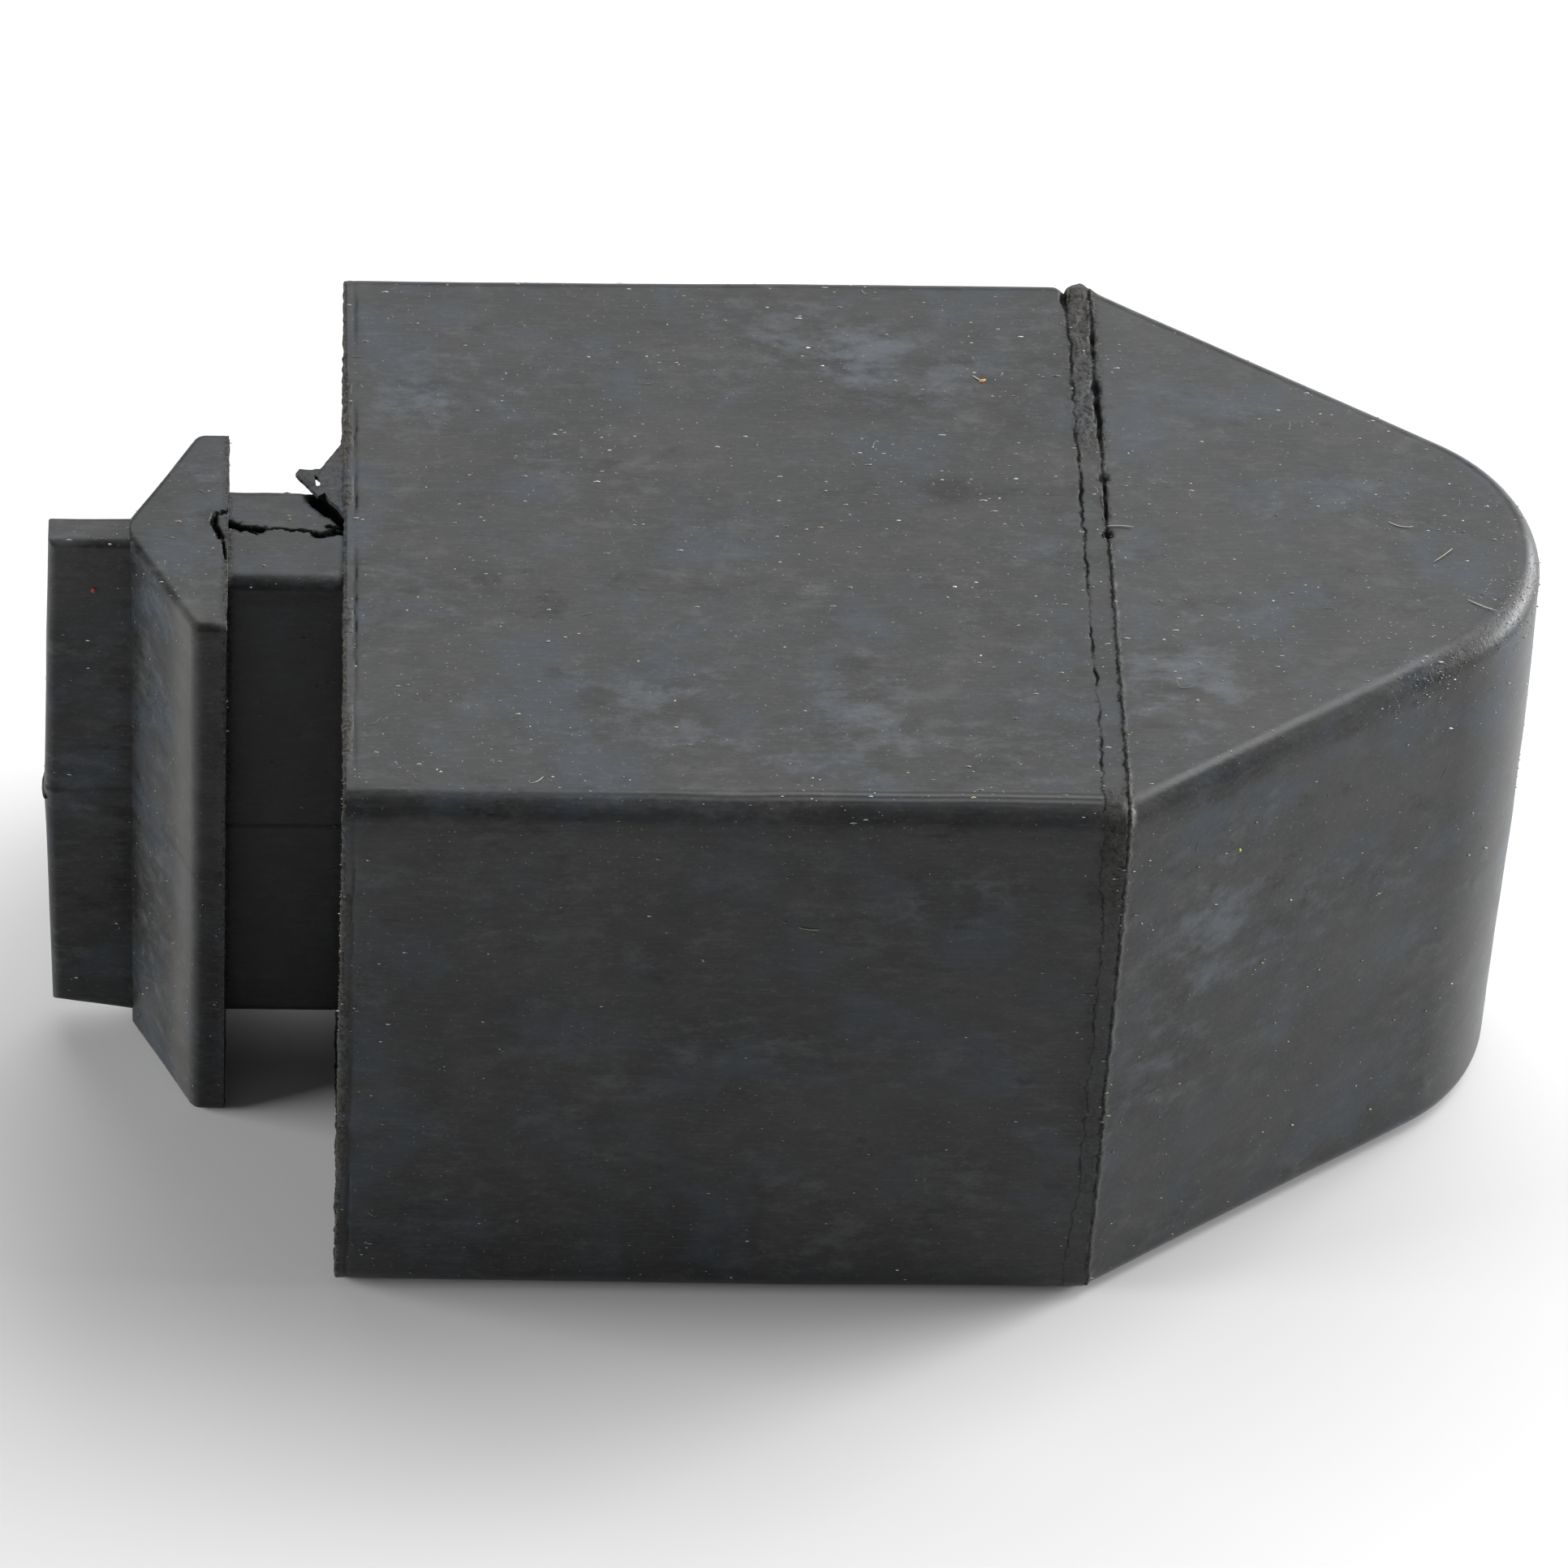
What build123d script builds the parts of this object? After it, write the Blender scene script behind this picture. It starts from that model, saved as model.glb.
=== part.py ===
"""Rubber bump stop: a wedge-nosed buffer block that snaps into a slotted bracket.

The block's long axis is X, with the nose at +X and the snap-in lug at -X.  The buffer
lies on a broad side, so Z runs through its height and Y across its width.  The origin is
at the bottom centre of the whole buffer.  Everything is symmetric about Y = 0.
"""

import os
from math import asin, atan2, degrees, hypot

from build123d import *

# Driving dimensions, mm
BODY_HEIGHT = 52.0  # block, nose and barb, across Z
SEAT_WIDTH = 60.0  # block at the seat face, at mid height
SHOULDER_WIDTH = 60.8  # block where the nose begins, at mid height
BLOCK_LENGTH = 57.6  # seat face to shoulder
NOSE_LENGTH = 33.4  # shoulder to the tip
TIP_RADIUS = 14.8  # plan radius of the nose's tip
BODY_DRAFT = 0.7  # degrees, from mid height up and down
EDGE_RADIUS = 2.0  # long edges of block and nose
BAND_WIDTH = 1.8  # strip between the two mould lines at the shoulder

GROOVE_WIDTH = 9.0  # seat face to barb, along X
NECK_THICKNESS = 10.8  # across Y
NECK_FOOT = 5.2  # the neck starts this far above the bottom
NECK_TOP_STEP = 0.5  # and ends this far below the top
NECK_EDGE_RADIUS = 1.2
NECK_ROOT = 3.0  # how far the neck runs into the block
NECK_TENON = 1.6  # and into the barb

BARB_WIDTH = 21.8  # across Y, at its back face
BARB_LAND = 2.4  # straight stretch beside the back face
BARB_LENGTH = 7.3  # back face to the foot of the slants
BARB_CORNER_RADIUS = 1.1  # between land and slant
BARB_EDGE_RADIUS = 0.7

TONGUE_LENGTH = 6.7  # at mid height
TONGUE_THICKNESS = 3.2
TONGUE_FOOT = 1.6  # height of its lower edge above the bottom, at the barb
TONGUE_FOOT_END = 2.7  # and at its free end
TONGUE_TOP_STEP = 0.2
TONGUE_END_CROWN = 0.5  # the free end bulges this much at mid height
TONGUE_EDGE_RADIUS = 0.7
JOINED_END = 1.0  # edges centred this near a joined end stay sharp

# Stations along X, from the tongue's free end to the nose's tip
TOTAL_LENGTH = TONGUE_LENGTH + BARB_LENGTH + GROOVE_WIDTH + BLOCK_LENGTH + NOSE_LENGTH
TONGUE_END_X = -TOTAL_LENGTH / 2
BARB_FRONT_X = TONGUE_END_X + TONGUE_LENGTH
BARB_BACK_X = BARB_FRONT_X + BARB_LENGTH
SEAT_X = BARB_BACK_X + GROOVE_WIDTH
SHOULDER_X = SEAT_X + BLOCK_LENGTH
TIP_X = SHOULDER_X + NOSE_LENGTH

# Plan of the body at mid height, where it is widest
MID_HEIGHT = Plane.XY.offset(BODY_HEIGHT / 2)
OVERRUN = 5.0  # how far the form runs past the seat face, which trims it
SIDE_TAPER = (SHOULDER_WIDTH - SEAT_WIDTH) / 2 / BLOCK_LENGTH
REAR_X = SEAT_X - OVERRUN
REAR_HALF = SEAT_WIDTH / 2 - SIDE_TAPER * OVERRUN
SHOULDER_HALF = SHOULDER_WIDTH / 2

# Each flank of the nose leaves the shoulder and meets the tip's arc as a tangent
TIP_CENTRE_X = TIP_X - TIP_RADIUS
TIP_RUN = TIP_CENTRE_X - SHOULDER_X
FLANK_ANGLE = degrees(
    atan2(SHOULDER_HALF, TIP_RUN) - asin(TIP_RADIUS / hypot(TIP_RUN, SHOULDER_HALF))
)

os.makedirs("parts", exist_ok=True)


def finish(part, name):
    """Label a finished piece and write it as a STEP file."""
    part.label = name
    export_step(part, f"parts/{name}.step")


# Block and nose share one drafted form, which is then divided at the mould lines
with BuildPart() as body_form:
    with BuildSketch(MID_HEIGHT):
        with BuildLine():
            tip = CenterArc(
                (TIP_CENTRE_X, 0), TIP_RADIUS, FLANK_ANGLE - 90, 180 - 2 * FLANK_ANGLE
            )
            Polyline(
                tip @ 1,
                (SHOULDER_X, SHOULDER_HALF),
                (REAR_X, REAR_HALF),
                (REAR_X, -REAR_HALF),
                (SHOULDER_X, -SHOULDER_HALF),
                tip @ 0,
            )
        make_face()
    extrude(amount=BODY_HEIGHT / 2, taper=BODY_DRAFT)
    fillet(body_form.faces().sort_by(Axis.Z)[-1].edges(), EDGE_RADIUS)
    mirror(about=MID_HEIGHT)

# Neck: the waist that the bracket's slot closes on
with BuildPart() as neck:
    with BuildSketch(Plane.YZ.offset(BARB_BACK_X - NECK_TENON)):
        neck_top = BODY_HEIGHT - NECK_TOP_STEP
        with Locations((0, (neck_top + NECK_FOOT) / 2)):
            RectangleRounded(NECK_THICKNESS, neck_top - NECK_FOOT, NECK_EDGE_RADIUS)
    extrude(amount=NECK_TENON + GROOVE_WIDTH + NECK_ROOT)
finish(neck.part, "mounting_neck")

with BuildPart() as block:
    add(body_form.part)
    split(bisect_by=Plane.YZ.offset(SEAT_X), keep=Keep.TOP)
    split(bisect_by=Plane.YZ.offset(SHOULDER_X - BAND_WIDTH), keep=Keep.BOTTOM)
    add(neck.part, mode=Mode.SUBTRACT)
finish(block.part, "main_block")

with BuildPart() as band:
    add(body_form.part)
    split(bisect_by=Plane.YZ.offset(SHOULDER_X - BAND_WIDTH), keep=Keep.TOP)
    split(bisect_by=Plane.YZ.offset(SHOULDER_X), keep=Keep.BOTTOM)
finish(band.part, "shoulder_band")

with BuildPart() as nose:
    add(body_form.part)
    split(bisect_by=Plane.YZ.offset(SHOULDER_X), keep=Keep.TOP)
finish(nose.part, "wedge_nose")

# Barb: an arrowhead in plan, blunt where the tongue grows out of it
with BuildPart() as barb:
    with BuildSketch(MID_HEIGHT) as arrowhead:
        with BuildLine():
            Polyline(
                (BARB_FRONT_X, TONGUE_THICKNESS / 2),
                (BARB_BACK_X - BARB_LAND, BARB_WIDTH / 2),
                (BARB_BACK_X, BARB_WIDTH / 2),
                (BARB_BACK_X, -BARB_WIDTH / 2),
                (BARB_BACK_X - BARB_LAND, -BARB_WIDTH / 2),
                (BARB_FRONT_X, -TONGUE_THICKNESS / 2),
                close=True,
            )
        make_face()
        fillet(arrowhead.vertices().group_by(Axis.X)[1], BARB_CORNER_RADIUS)
    extrude(amount=BODY_HEIGHT / 2, both=True)
    rims = barb.faces().filter_by(Axis.Z).edges()
    wings = rims.filter_by(
        lambda rim: BARB_FRONT_X + JOINED_END < rim.center().X < BARB_BACK_X - JOINED_END
    )
    fillet(wings, BARB_EDGE_RADIUS)
    add(neck.part, mode=Mode.SUBTRACT)
finish(barb.part, "retaining_barb")

# Tongue: what is gripped to draw the barb through the slot
with BuildPart() as tongue:
    with BuildSketch(Plane.XZ):
        with BuildLine():
            Polyline(
                (BARB_FRONT_X, TONGUE_FOOT),
                (TONGUE_END_X + TONGUE_END_CROWN, TONGUE_FOOT_END),
                (TONGUE_END_X, BODY_HEIGHT / 2),
                (TONGUE_END_X + TONGUE_END_CROWN, BODY_HEIGHT - TONGUE_TOP_STEP),
                (BARB_FRONT_X, BODY_HEIGHT - TONGUE_TOP_STEP),
                close=True,
            )
        make_face()
    extrude(amount=TONGUE_THICKNESS / 2, both=True)
    rims = tongue.faces().filter_by(Axis.Y).edges()
    free_edges = rims.filter_by(lambda rim: rim.center().X < BARB_FRONT_X - JOINED_END)
    fillet(free_edges, TONGUE_EDGE_RADIUS)
finish(tongue.part, "pull_tongue")
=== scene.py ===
"""Looks of the rubber bump stop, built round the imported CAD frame.

Each moulded region is a dense closed skin that keeps the CAD form and adds what moulding and
trimming left on it: open mould lines, flash, drag marks, a torn web, dust and lint.
Shapes are worked out in millimetres in the CAD frame and written to the meshes in metres.
"""

import math

import bmesh
import bpy
import numpy as np
from mathutils import Matrix, Vector


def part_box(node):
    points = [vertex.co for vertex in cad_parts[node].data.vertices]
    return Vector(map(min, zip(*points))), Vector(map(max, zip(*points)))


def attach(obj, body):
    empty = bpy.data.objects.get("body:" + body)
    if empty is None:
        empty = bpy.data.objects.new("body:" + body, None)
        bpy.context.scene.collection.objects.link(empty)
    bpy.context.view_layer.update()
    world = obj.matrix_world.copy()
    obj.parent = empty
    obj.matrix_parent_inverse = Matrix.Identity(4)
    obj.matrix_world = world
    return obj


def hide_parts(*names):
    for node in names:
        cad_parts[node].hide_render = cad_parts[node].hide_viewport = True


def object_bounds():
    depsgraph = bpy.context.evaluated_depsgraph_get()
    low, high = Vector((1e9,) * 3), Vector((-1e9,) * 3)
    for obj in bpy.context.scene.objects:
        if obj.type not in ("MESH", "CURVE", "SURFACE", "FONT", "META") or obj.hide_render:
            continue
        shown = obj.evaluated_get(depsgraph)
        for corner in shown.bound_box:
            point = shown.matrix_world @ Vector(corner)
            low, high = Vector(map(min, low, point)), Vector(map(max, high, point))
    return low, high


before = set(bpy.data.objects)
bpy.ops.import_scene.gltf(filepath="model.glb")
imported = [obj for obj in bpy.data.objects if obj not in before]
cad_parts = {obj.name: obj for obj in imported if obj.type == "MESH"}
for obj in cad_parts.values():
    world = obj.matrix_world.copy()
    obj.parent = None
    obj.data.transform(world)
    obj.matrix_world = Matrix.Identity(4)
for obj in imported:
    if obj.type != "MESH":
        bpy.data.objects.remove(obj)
cad_low, cad_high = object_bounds()

MM = 0.001
BODY = "root"


def corners(node):
    """Lowest and highest corner of a CAD node, in mm."""
    low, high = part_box(node)
    return np.array(low) / MM, np.array(high) / MM


block_low, block_high = corners("main_block")
band_low, band_high = corners("shoulder_band")
nose_low, nose_high = corners("wedge_nose")
neck_low, neck_high = corners("mounting_neck")
barb_low, barb_high = corners("retaining_barb")
tongue_low, tongue_high = corners("pull_tongue")

# Stations along X, from the tongue's free end to the nose's tip
TONGUE_END_X = tongue_low[0]
BARB_FRONT_X = barb_low[0]
BARB_BACK_X = barb_high[0]
SEAT_X = block_low[0]
BAND_X = band_low[0]
SHOULDER_X = nose_low[0]
TIP_X = nose_high[0]
HEIGHT = block_high[2]
MID_HEIGHT = HEIGHT / 2
SHOULDER_HALF = nose_high[1]

# Forms that a node's box doesn't tell, mm
SEAT_HALF = 30.0
TIP_RADIUS = 14.8
DRAFT = math.tan(math.radians(0.7))
EDGE_RADIUS = 2.0
NECK_EDGE_RADIUS = 1.2
BARB_LAND = 2.4
BARB_CORNER_RADIUS = 1.1
BARB_EDGE_RADIUS = 0.7
TONGUE_FOOT_END = 2.7
TONGUE_END_CROWN = 0.5
TONGUE_EDGE_RADIUS = 0.7

SIDE_TAPER = (SHOULDER_HALF - SEAT_HALF) / (SHOULDER_X - SEAT_X)
TIP_CENTRE_X = TIP_X - TIP_RADIUS
TIP_RUN = TIP_CENTRE_X - SHOULDER_X
FLANK = math.atan2(SHOULDER_HALF, TIP_RUN) - math.asin(
    TIP_RADIUS / math.hypot(TIP_RUN, SHOULDER_HALF)
)
FLANK_X, FLANK_Y = math.sin(FLANK), math.cos(FLANK)  # the flank's outward normal in plan


# ---------------------------------------------------------------- noise and spacing


def smooth_noise(points, size, seed):
    """Noise from -1 to 1 with features of about size mm."""
    cells = 32
    lattice = np.random.default_rng(seed).uniform(-1, 1, (cells, cells, cells))
    scaled = points / size
    cell = np.floor(scaled).astype(int)
    part = scaled - cell
    part = part * part * (3 - 2 * part)
    total = 0
    for corner in np.ndindex(2, 2, 2):
        weight = np.prod(np.where(corner, part, 1 - part), axis=-1)
        i, j, k = np.moveaxis((cell + corner) % cells, -1, 0)
        total = total + weight * lattice[i, j, k]
    return total


def ragged_noise(points, size, seed, octaves=3):
    """Noise with finer and finer detail on it, from about -1 to 1."""
    layers = [smooth_noise(points, size / 2**n, seed + n) / 1.6**n for n in range(octaves)]
    return sum(layers) / 1.5


def graded(start, end, fine, coarse):
    """Stations from start to end, fine at both ends and widening to coarse between."""
    half = abs(end - start) / 2
    steps, reach = [], 0
    while reach < half:
        steps.append(min(coarse, fine * 1.14 ** len(steps)))
        reach += steps[-1]
    steps = np.array(steps + steps[::-1])
    places = np.concatenate([[0], np.cumsum(steps)])
    return start + (end - start) * places / places[-1]


def full_turn(count):
    """Evenly spaced angles once round."""
    return np.linspace(0, 2 * math.pi, count, endpoint=False)


def falloff(distance, width):
    """1 at no distance, dropping smoothly to nothing past about twice the width."""
    return np.exp(-((distance / width) ** 2))


def to_segment(points, start, end):
    """Distance in plan from each point to a straight stretch."""
    start, end = np.array(start), np.array(end)
    along = end - start
    share = np.clip((points[..., :2] - start) @ along / (along @ along), 0, 1)
    return np.linalg.norm(points[..., :2] - start - share[..., None] * along, axis=-1)


def ring_faces(rings, around, first=0, loop=False):
    """Quads between neighbouring rings of points, and back to the first ring in a loop."""
    index = first + np.arange(rings * around).reshape(rings, around)
    ahead = np.roll(index, -1, axis=0)
    after, after_ahead = np.roll(index, -1, axis=1), np.roll(ahead, -1, axis=1)
    quads = np.stack([index, after, after_ahead, ahead], axis=-1)
    return (quads if loop else quads[:-1]).reshape(-1, 4).tolist()


def closed_tube(rings, around, first=0):
    """Faces of a tube through the rings, with both of its ends closed."""
    last = first + (rings - 1) * around
    ends = [list(range(start, start + around)) for start in (first, last)]
    return ring_faces(rings, around, first) + ends


# ---------------------------------------------------------------- sections


class Section:
    """Once round a section: near side up, top across, far side down, bottom back.

    z is the height of each point, inset how far it lies inside the plan outline, side its
    share of the half width, and out and up its outward direction.
    """

    def __init__(self, low, high, radius, draft, across, rise, arc_steps):
        turn = np.linspace(0, math.pi / 2, arc_steps + 1)
        flat = np.arange(1, max(2, round((high - low - 2 * radius) / rise)))
        flat = low + radius + flat / (flat[-1] + 1) * (high - low - 2 * radius)
        z = np.concatenate([
            low + radius * (1 - np.cos(turn)), flat, high - radius * (1 - np.cos(turn[::-1]))
        ])
        out = np.concatenate([np.sin(turn), np.ones(len(flat)), np.sin(turn[::-1])])
        up = np.concatenate([-np.cos(turn), np.zeros(len(flat)), np.cos(turn[::-1])])
        inset = radius * (1 - out) + draft * np.abs(z - MID_HEIGHT)
        row = across[1:-1]
        flat_row, ones = np.zeros(len(row)), np.ones(len(row))
        self.level_z, self.level_inset, self.across = z, inset, across
        self.z = np.concatenate([z, ones * high, z[::-1], ones * low])
        self.inset = np.concatenate([inset, ones * inset[-1], inset[::-1], ones * inset[0]])
        self.side = np.concatenate([-np.ones(len(z)), row, np.ones(len(z)), row[::-1]])
        self.out = np.concatenate([out, flat_row, out[::-1], flat_row])
        self.up = np.concatenate([up, ones, up[::-1], -ones])

    def cap_indices(self, first):
        """Vertex numbers of a cap's grid: its rim is the loop, and the rest start at first."""
        levels, columns = len(self.level_z), len(self.across)
        grid = np.empty((levels, columns), int)
        grid[1:-1, 1:-1] = first + np.arange((levels - 2) * (columns - 2)).reshape(
            levels - 2, columns - 2
        )
        row = columns - 2
        grid[:, 0] = np.arange(levels)
        grid[-1, 1:-1] = levels + np.arange(row)
        grid[:, -1] = levels + row + np.arange(levels)[::-1]
        grid[0, 1:-1] = 2 * levels + row + np.arange(row)[::-1]
        return grid


def swept_skin(section, plan, plan_normal, low_cap, high_cap):
    """Points, normals and faces of a closed skin.

    plan(inset) gives x and half width at every station; a cap is "grid" where it shows, "fan"
    where a neighbour hides it, and None where the stations close up by themselves.
    """
    x, half = plan(section.inset[None, :])
    x, half = np.broadcast_arrays(x, half)
    stations, around = x.shape
    side = np.broadcast_to(section.side, x.shape)
    points = np.stack([x, side * half, np.broadcast_to(section.z, x.shape)], axis=-1)
    normals = np.stack([
        plan_normal[:, :1] * section.out,
        plan_normal[:, 1:] * section.out * np.sign(section.side),
        np.broadcast_to(section.up, x.shape),
    ], axis=-1)
    points, normals = points.reshape(-1, 3), normals.reshape(-1, 3)
    faces = ring_faces(stations, around)
    level_x, level_half = np.broadcast_arrays(*plan(section.level_inset[None, :]))
    for station, direction, kind in ((0, -1.0, low_cap), (stations - 1, 1.0, high_cap)):
        first = len(points)
        rim = station * around + np.arange(around)
        if kind == "grid":
            grid = section.cap_indices(0)
            y = level_half[station][:, None] * section.across[None, :]
            flat_x = np.broadcast_to(level_x[station][:, None], y.shape)
            flat_z = np.broadcast_to(section.level_z[:, None], y.shape)
            inner = np.stack([flat_x, y, flat_z], axis=-1)[1:-1, 1:-1].reshape(-1, 3)
            lookup = section.cap_indices(first)
            rim_mask = np.ones(lookup.shape, bool)
            rim_mask[1:-1, 1:-1] = False
            lookup[rim_mask] = rim[grid[rim_mask]]
            cap = np.stack(
                [lookup[:-1, :-1], lookup[:-1, 1:], lookup[1:, 1:], lookup[1:, :-1]], axis=-1
            )
            faces += cap.reshape(-1, 4).tolist()
        elif kind == "fan":
            inner = points[rim].mean(axis=0)[None, :]
            faces += np.stack([rim, np.roll(rim, -1), np.full(around, first)], axis=-1).tolist()
        else:
            continue
        points = np.concatenate([points, inner])
        normals = np.concatenate([normals, np.tile([direction, 0, 0], (len(inner), 1))])
    return points, normals, faces


# ---------------------------------------------------------------- meshes


FAR_OFF = 9.0  # mm, past which a gap is as good as none
UNMARKED = {
    "crack": 0.0,  # how deep in a crevice
    "rear_gap": FAR_OFF,  # mm from the rear mould line, along X
    "front_gap": FAR_OFF,  # mm from the front mould line, along X
    "rear_open": 0.0,  # how readily the rear mould line gapes
    "front_open": 0.0,  # and the front one
    "drag_gap": FAR_OFF,  # mm from the drag marks along the near upper edge, along Y
    "drag": 0.0,  # how strong those marks are
    "crumbs": 0.0,  # how crumbly and brown
    "soot_and_shade": 0.0,  # how dark: dark smudges, and painted shade in corners and under near edges
    "painted_light_film": 0.0,  # how thickly a pale layer of painted light lifts a dim face
    "bloom": 0.0,  # how far bloom has come to the surface
    "dust": 0.4,  # how many pale specks
    "pale": 0.5,  # how light a grain or fibre is
}


def make_mesh(name, points, faces, marks, material, sharp_degrees=38):
    """A closed mesh from points in mm, with its marks kept as point attributes."""
    points = np.array(points)
    points[:, 2] = np.clip(points[:, 2], 0, None)
    mesh = bpy.data.meshes.new(name)
    mesh.from_pydata((points * MM).tolist(), [], [list(f) for f in faces])
    for mark, plain in UNMARKED.items():
        values = np.broadcast_to(marks.get(mark, plain), len(points))
        layer = mesh.attributes.new(mark, "FLOAT", "POINT")
        layer.data.foreach_set("value", np.asarray(values, np.float32))
    work = bmesh.new()
    work.from_mesh(mesh)
    bmesh.ops.remove_doubles(work, verts=work.verts, dist=0.002 * MM)
    bmesh.ops.recalc_face_normals(work, faces=work.faces)
    work.to_mesh(mesh)
    work.free()
    mesh.shade_smooth()
    mesh.set_sharp_from_angle(angle=math.radians(sharp_degrees))
    mesh.materials.append(material)
    piece = bpy.data.objects.new(name, mesh)
    bpy.context.scene.collection.objects.link(piece)
    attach(piece, BODY)
    return piece


# ---------------------------------------------------------------- marks of moulding


MOULD_LINES = (  # place along X, seed, wander in mm
    (BAND_X, 11, 0.20),
    (SHOULDER_X, 23, 0.08),
)
LINE_WIDTH = 0.10  # mm, half width of a mould line where it hasn't gaped
NEAR_BULGE = 0.55  # mm that the rear mould line leans towards the nose on the near side
GAPES = (  # on the upper side: line, y of its middle, half length, depth and width in mm
    (SHOULDER_X, 22.5, 1.8, 0.50, 0.15),
    (SHOULDER_X, 17.2, 0.6, 0.70, 0.30),
    (SHOULDER_X, 14.0, 3.2, 0.65, 0.20),
    (SHOULDER_X, 6.9, 0.32, 0.95, 0.48),
    (SHOULDER_X, 3.9, 2.3, 0.45, 0.11),
    (SHOULDER_X, 0.6, 0.32, 0.90, 0.40),
    (BAND_X, 27.6, 1.6, 0.60, 0.32),
    (BAND_X, 5.0, 1.9, 0.34, 0.13),
    (BAND_X, -6.5, 1.9, 0.40, 0.17),
    (BAND_X, -15.0, 3.0, 0.30, 0.10),
    (BAND_X, -23.6, 2.3, 0.30, 0.10),
)


def wander(points, seed, reach):
    """How far a mould line strays along X, by its place round the body."""
    around = points * (0, 1, 1)
    slow = smooth_noise(around, 4.0, seed)
    return reach * (0.5 * slow + 0.9 * ragged_noise(around, 0.9, seed + 1))


def broken_band(points):
    """How crumbly the strip between the mould lines is: most in its far part, at the near
    upper corner and low on the near side. The ridge beside the front line is crumbly too."""
    x, y, z = points.T
    far = np.clip((y - 7.5) / 5, 0, 1) * (z > MID_HEIGHT)
    corner = falloff(z - 46.5, 4.5) * (y < -27)
    low = (0.35 + 0.35 * falloff(z - 17, 5)) * (y < -27)
    strip = falloff(x - 0.5 * (SHOULDER_X + BAND_X), 1.15)
    ridge = 0.75 * falloff(x - SHOULDER_X - 0.15, 0.30)
    return np.clip(ridge + np.clip(far + corner + low, 0, 1) * strip, 0, 1)


def rear_opening(points):
    """How readily the rear mould line gapes: fully at the far side, then in broken stretches."""
    _, y, z = points.T
    top = np.interp(y, (-29.0, -18.0, -8.0, 9.0, 11.0), (0.30, 0.50, 0.70, 0.80, 0.95))
    spell = np.clip(0.45 + 2.0 * smooth_noise(points * (0, 1, 1), 1.5, 97), 0, 1)
    spell = np.where(y > 9.5, 1.0, spell)
    return np.where(z > HEIGHT - EDGE_RADIUS, top * spell, 0.25 * spell)


def mould_lines(points):
    """Shift along X and groove depth that the two mould lines give."""
    x, y, z = points.T
    shift, depth = np.zeros(len(points)), np.zeros(len(points))
    upper = z > HEIGHT - EDGE_RADIUS
    bulge = NEAR_BULGE * (y < -SEAT_HALF + 2) * np.interp(z, (4, 12, 41, 46), (0, 1, 1, 0))
    around = points * (0, 1, 1)
    for line_x, seed, reach in MOULD_LINES:
        gap = x - line_x
        stray = wander(points, seed, reach)
        if line_x == BAND_X:
            stray = stray + bulge
        shift += stray * falloff(gap, 0.9)
        torn = np.clip(0.10 + 0.10 * ragged_noise(around, 2.5, seed + 5), 0, 1)
        width = np.full(len(points), LINE_WIDTH)
        for gape_x, gape_y, half_length, gape, gape_width in GAPES:
            if gape_x == line_x:
                share = upper * falloff(y - gape_y, half_length)
                torn = torn + gape * share
                width = width + (gape_width - LINE_WIDTH) * share
        torn = torn * np.clip(0.75 + 0.6 * ragged_noise(around, 0.7, seed + 9), 0, None)
        if line_x == BAND_X:
            torn = torn * rear_opening(points)
        depth += torn * falloff(gap, width)
    return shift, depth


def front_opening(points):
    """How readily the front mould line gapes: wide in its far part, then in short stretches."""
    _, y, z = points.T
    across = (-29.0, -0.4, 0.2, 1.4, 6.0, 7.2, 10.0, 11.2)
    opening = (0.45, 0.45, 1.0, 0.7, 0.7, 0.2, 0.2, 1.0)
    return np.where(z > HEIGHT - EDGE_RADIUS, np.interp(y, across, opening), 0.38)


def edge_shade(points):
    """Painted shade: a dark band just below the rounded near edge of the block and nose."""
    x, y, z = points.T
    stations = (SEAT_X, BAND_X - 1, BAND_X, SHOULDER_X + 1, SHOULDER_X + 4, 42.0, 52.0)
    strength = np.interp(x, stations, (0.45, 0.45, 0.1, 0.3, 0.75, 0.75, 0.0))
    return strength * falloff(z - HEIGHT + 2.3, 0.85) * (y < 0)


def shoulder_ridge(points):
    """The thin ridge beside the front mould line where it has closed, and at the band's far
    end a bump with a notch behind it."""
    x, y, z = points.T
    closed = np.clip((0.2 - y) / 1.5, 0, 1)
    height = 0.10 + 0.04 * ragged_noise(points * (0, 1, 1), 0.6, 71)
    ridge = closed * height * falloff(x - SHOULDER_X - 0.12, 0.20)
    far = falloff(y - 30.5, 2.2) * (z > HEIGHT - 4)
    bump = 0.34 * falloff(x - SHOULDER_X + 0.5, 0.75)
    notch = 0.55 * falloff(x - BAND_X + 0.15, 0.38)
    return ridge + far * (bump - notch)


def drag_marks(points):
    """Distance along Y from the drag marks by the block's near upper edge, and their strength."""
    x, y, z = points.T
    straying = 0.12 * smooth_noise(points * (1, 0, 0), 6.0, 91)
    strength = np.interp(x, (-20.0, 6.0), (0.25, 1.0)) * (z > MID_HEIGHT) * (x < BAND_X - 0.2)
    return np.clip(y + SHOULDER_HALF - 2.2 + straying, -FAR_OFF, FAR_OFF), strength


def flow_line(points):
    """A faint step in the near side, where two flows of rubber met."""
    x, y, z = points.T
    from_seat = x - SEAT_X
    above = z - (43.5 - 0.0063 * from_seat**2 + 0.25 * np.sin(from_seat * 0.5))
    share = (y < 0) * np.clip((32 - from_seat) / 12, 0, 1)
    return 0.03 * share * np.tanh(above / 0.35) * falloff(above, 3.0)


def trim_line(points):
    """The narrow groove that the trimming left beside the seat's flash."""
    around = points * (0, 1, 1)
    place = SEAT_X + 0.58 + 0.10 * ragged_noise(around, 1.5, 83)
    strength = np.clip(0.6 + 0.8 * smooth_noise(around, 4.0, 87), 0.1, 1)
    return 0.10 * strength * falloff(points[:, 0] - place, 0.11)


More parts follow.
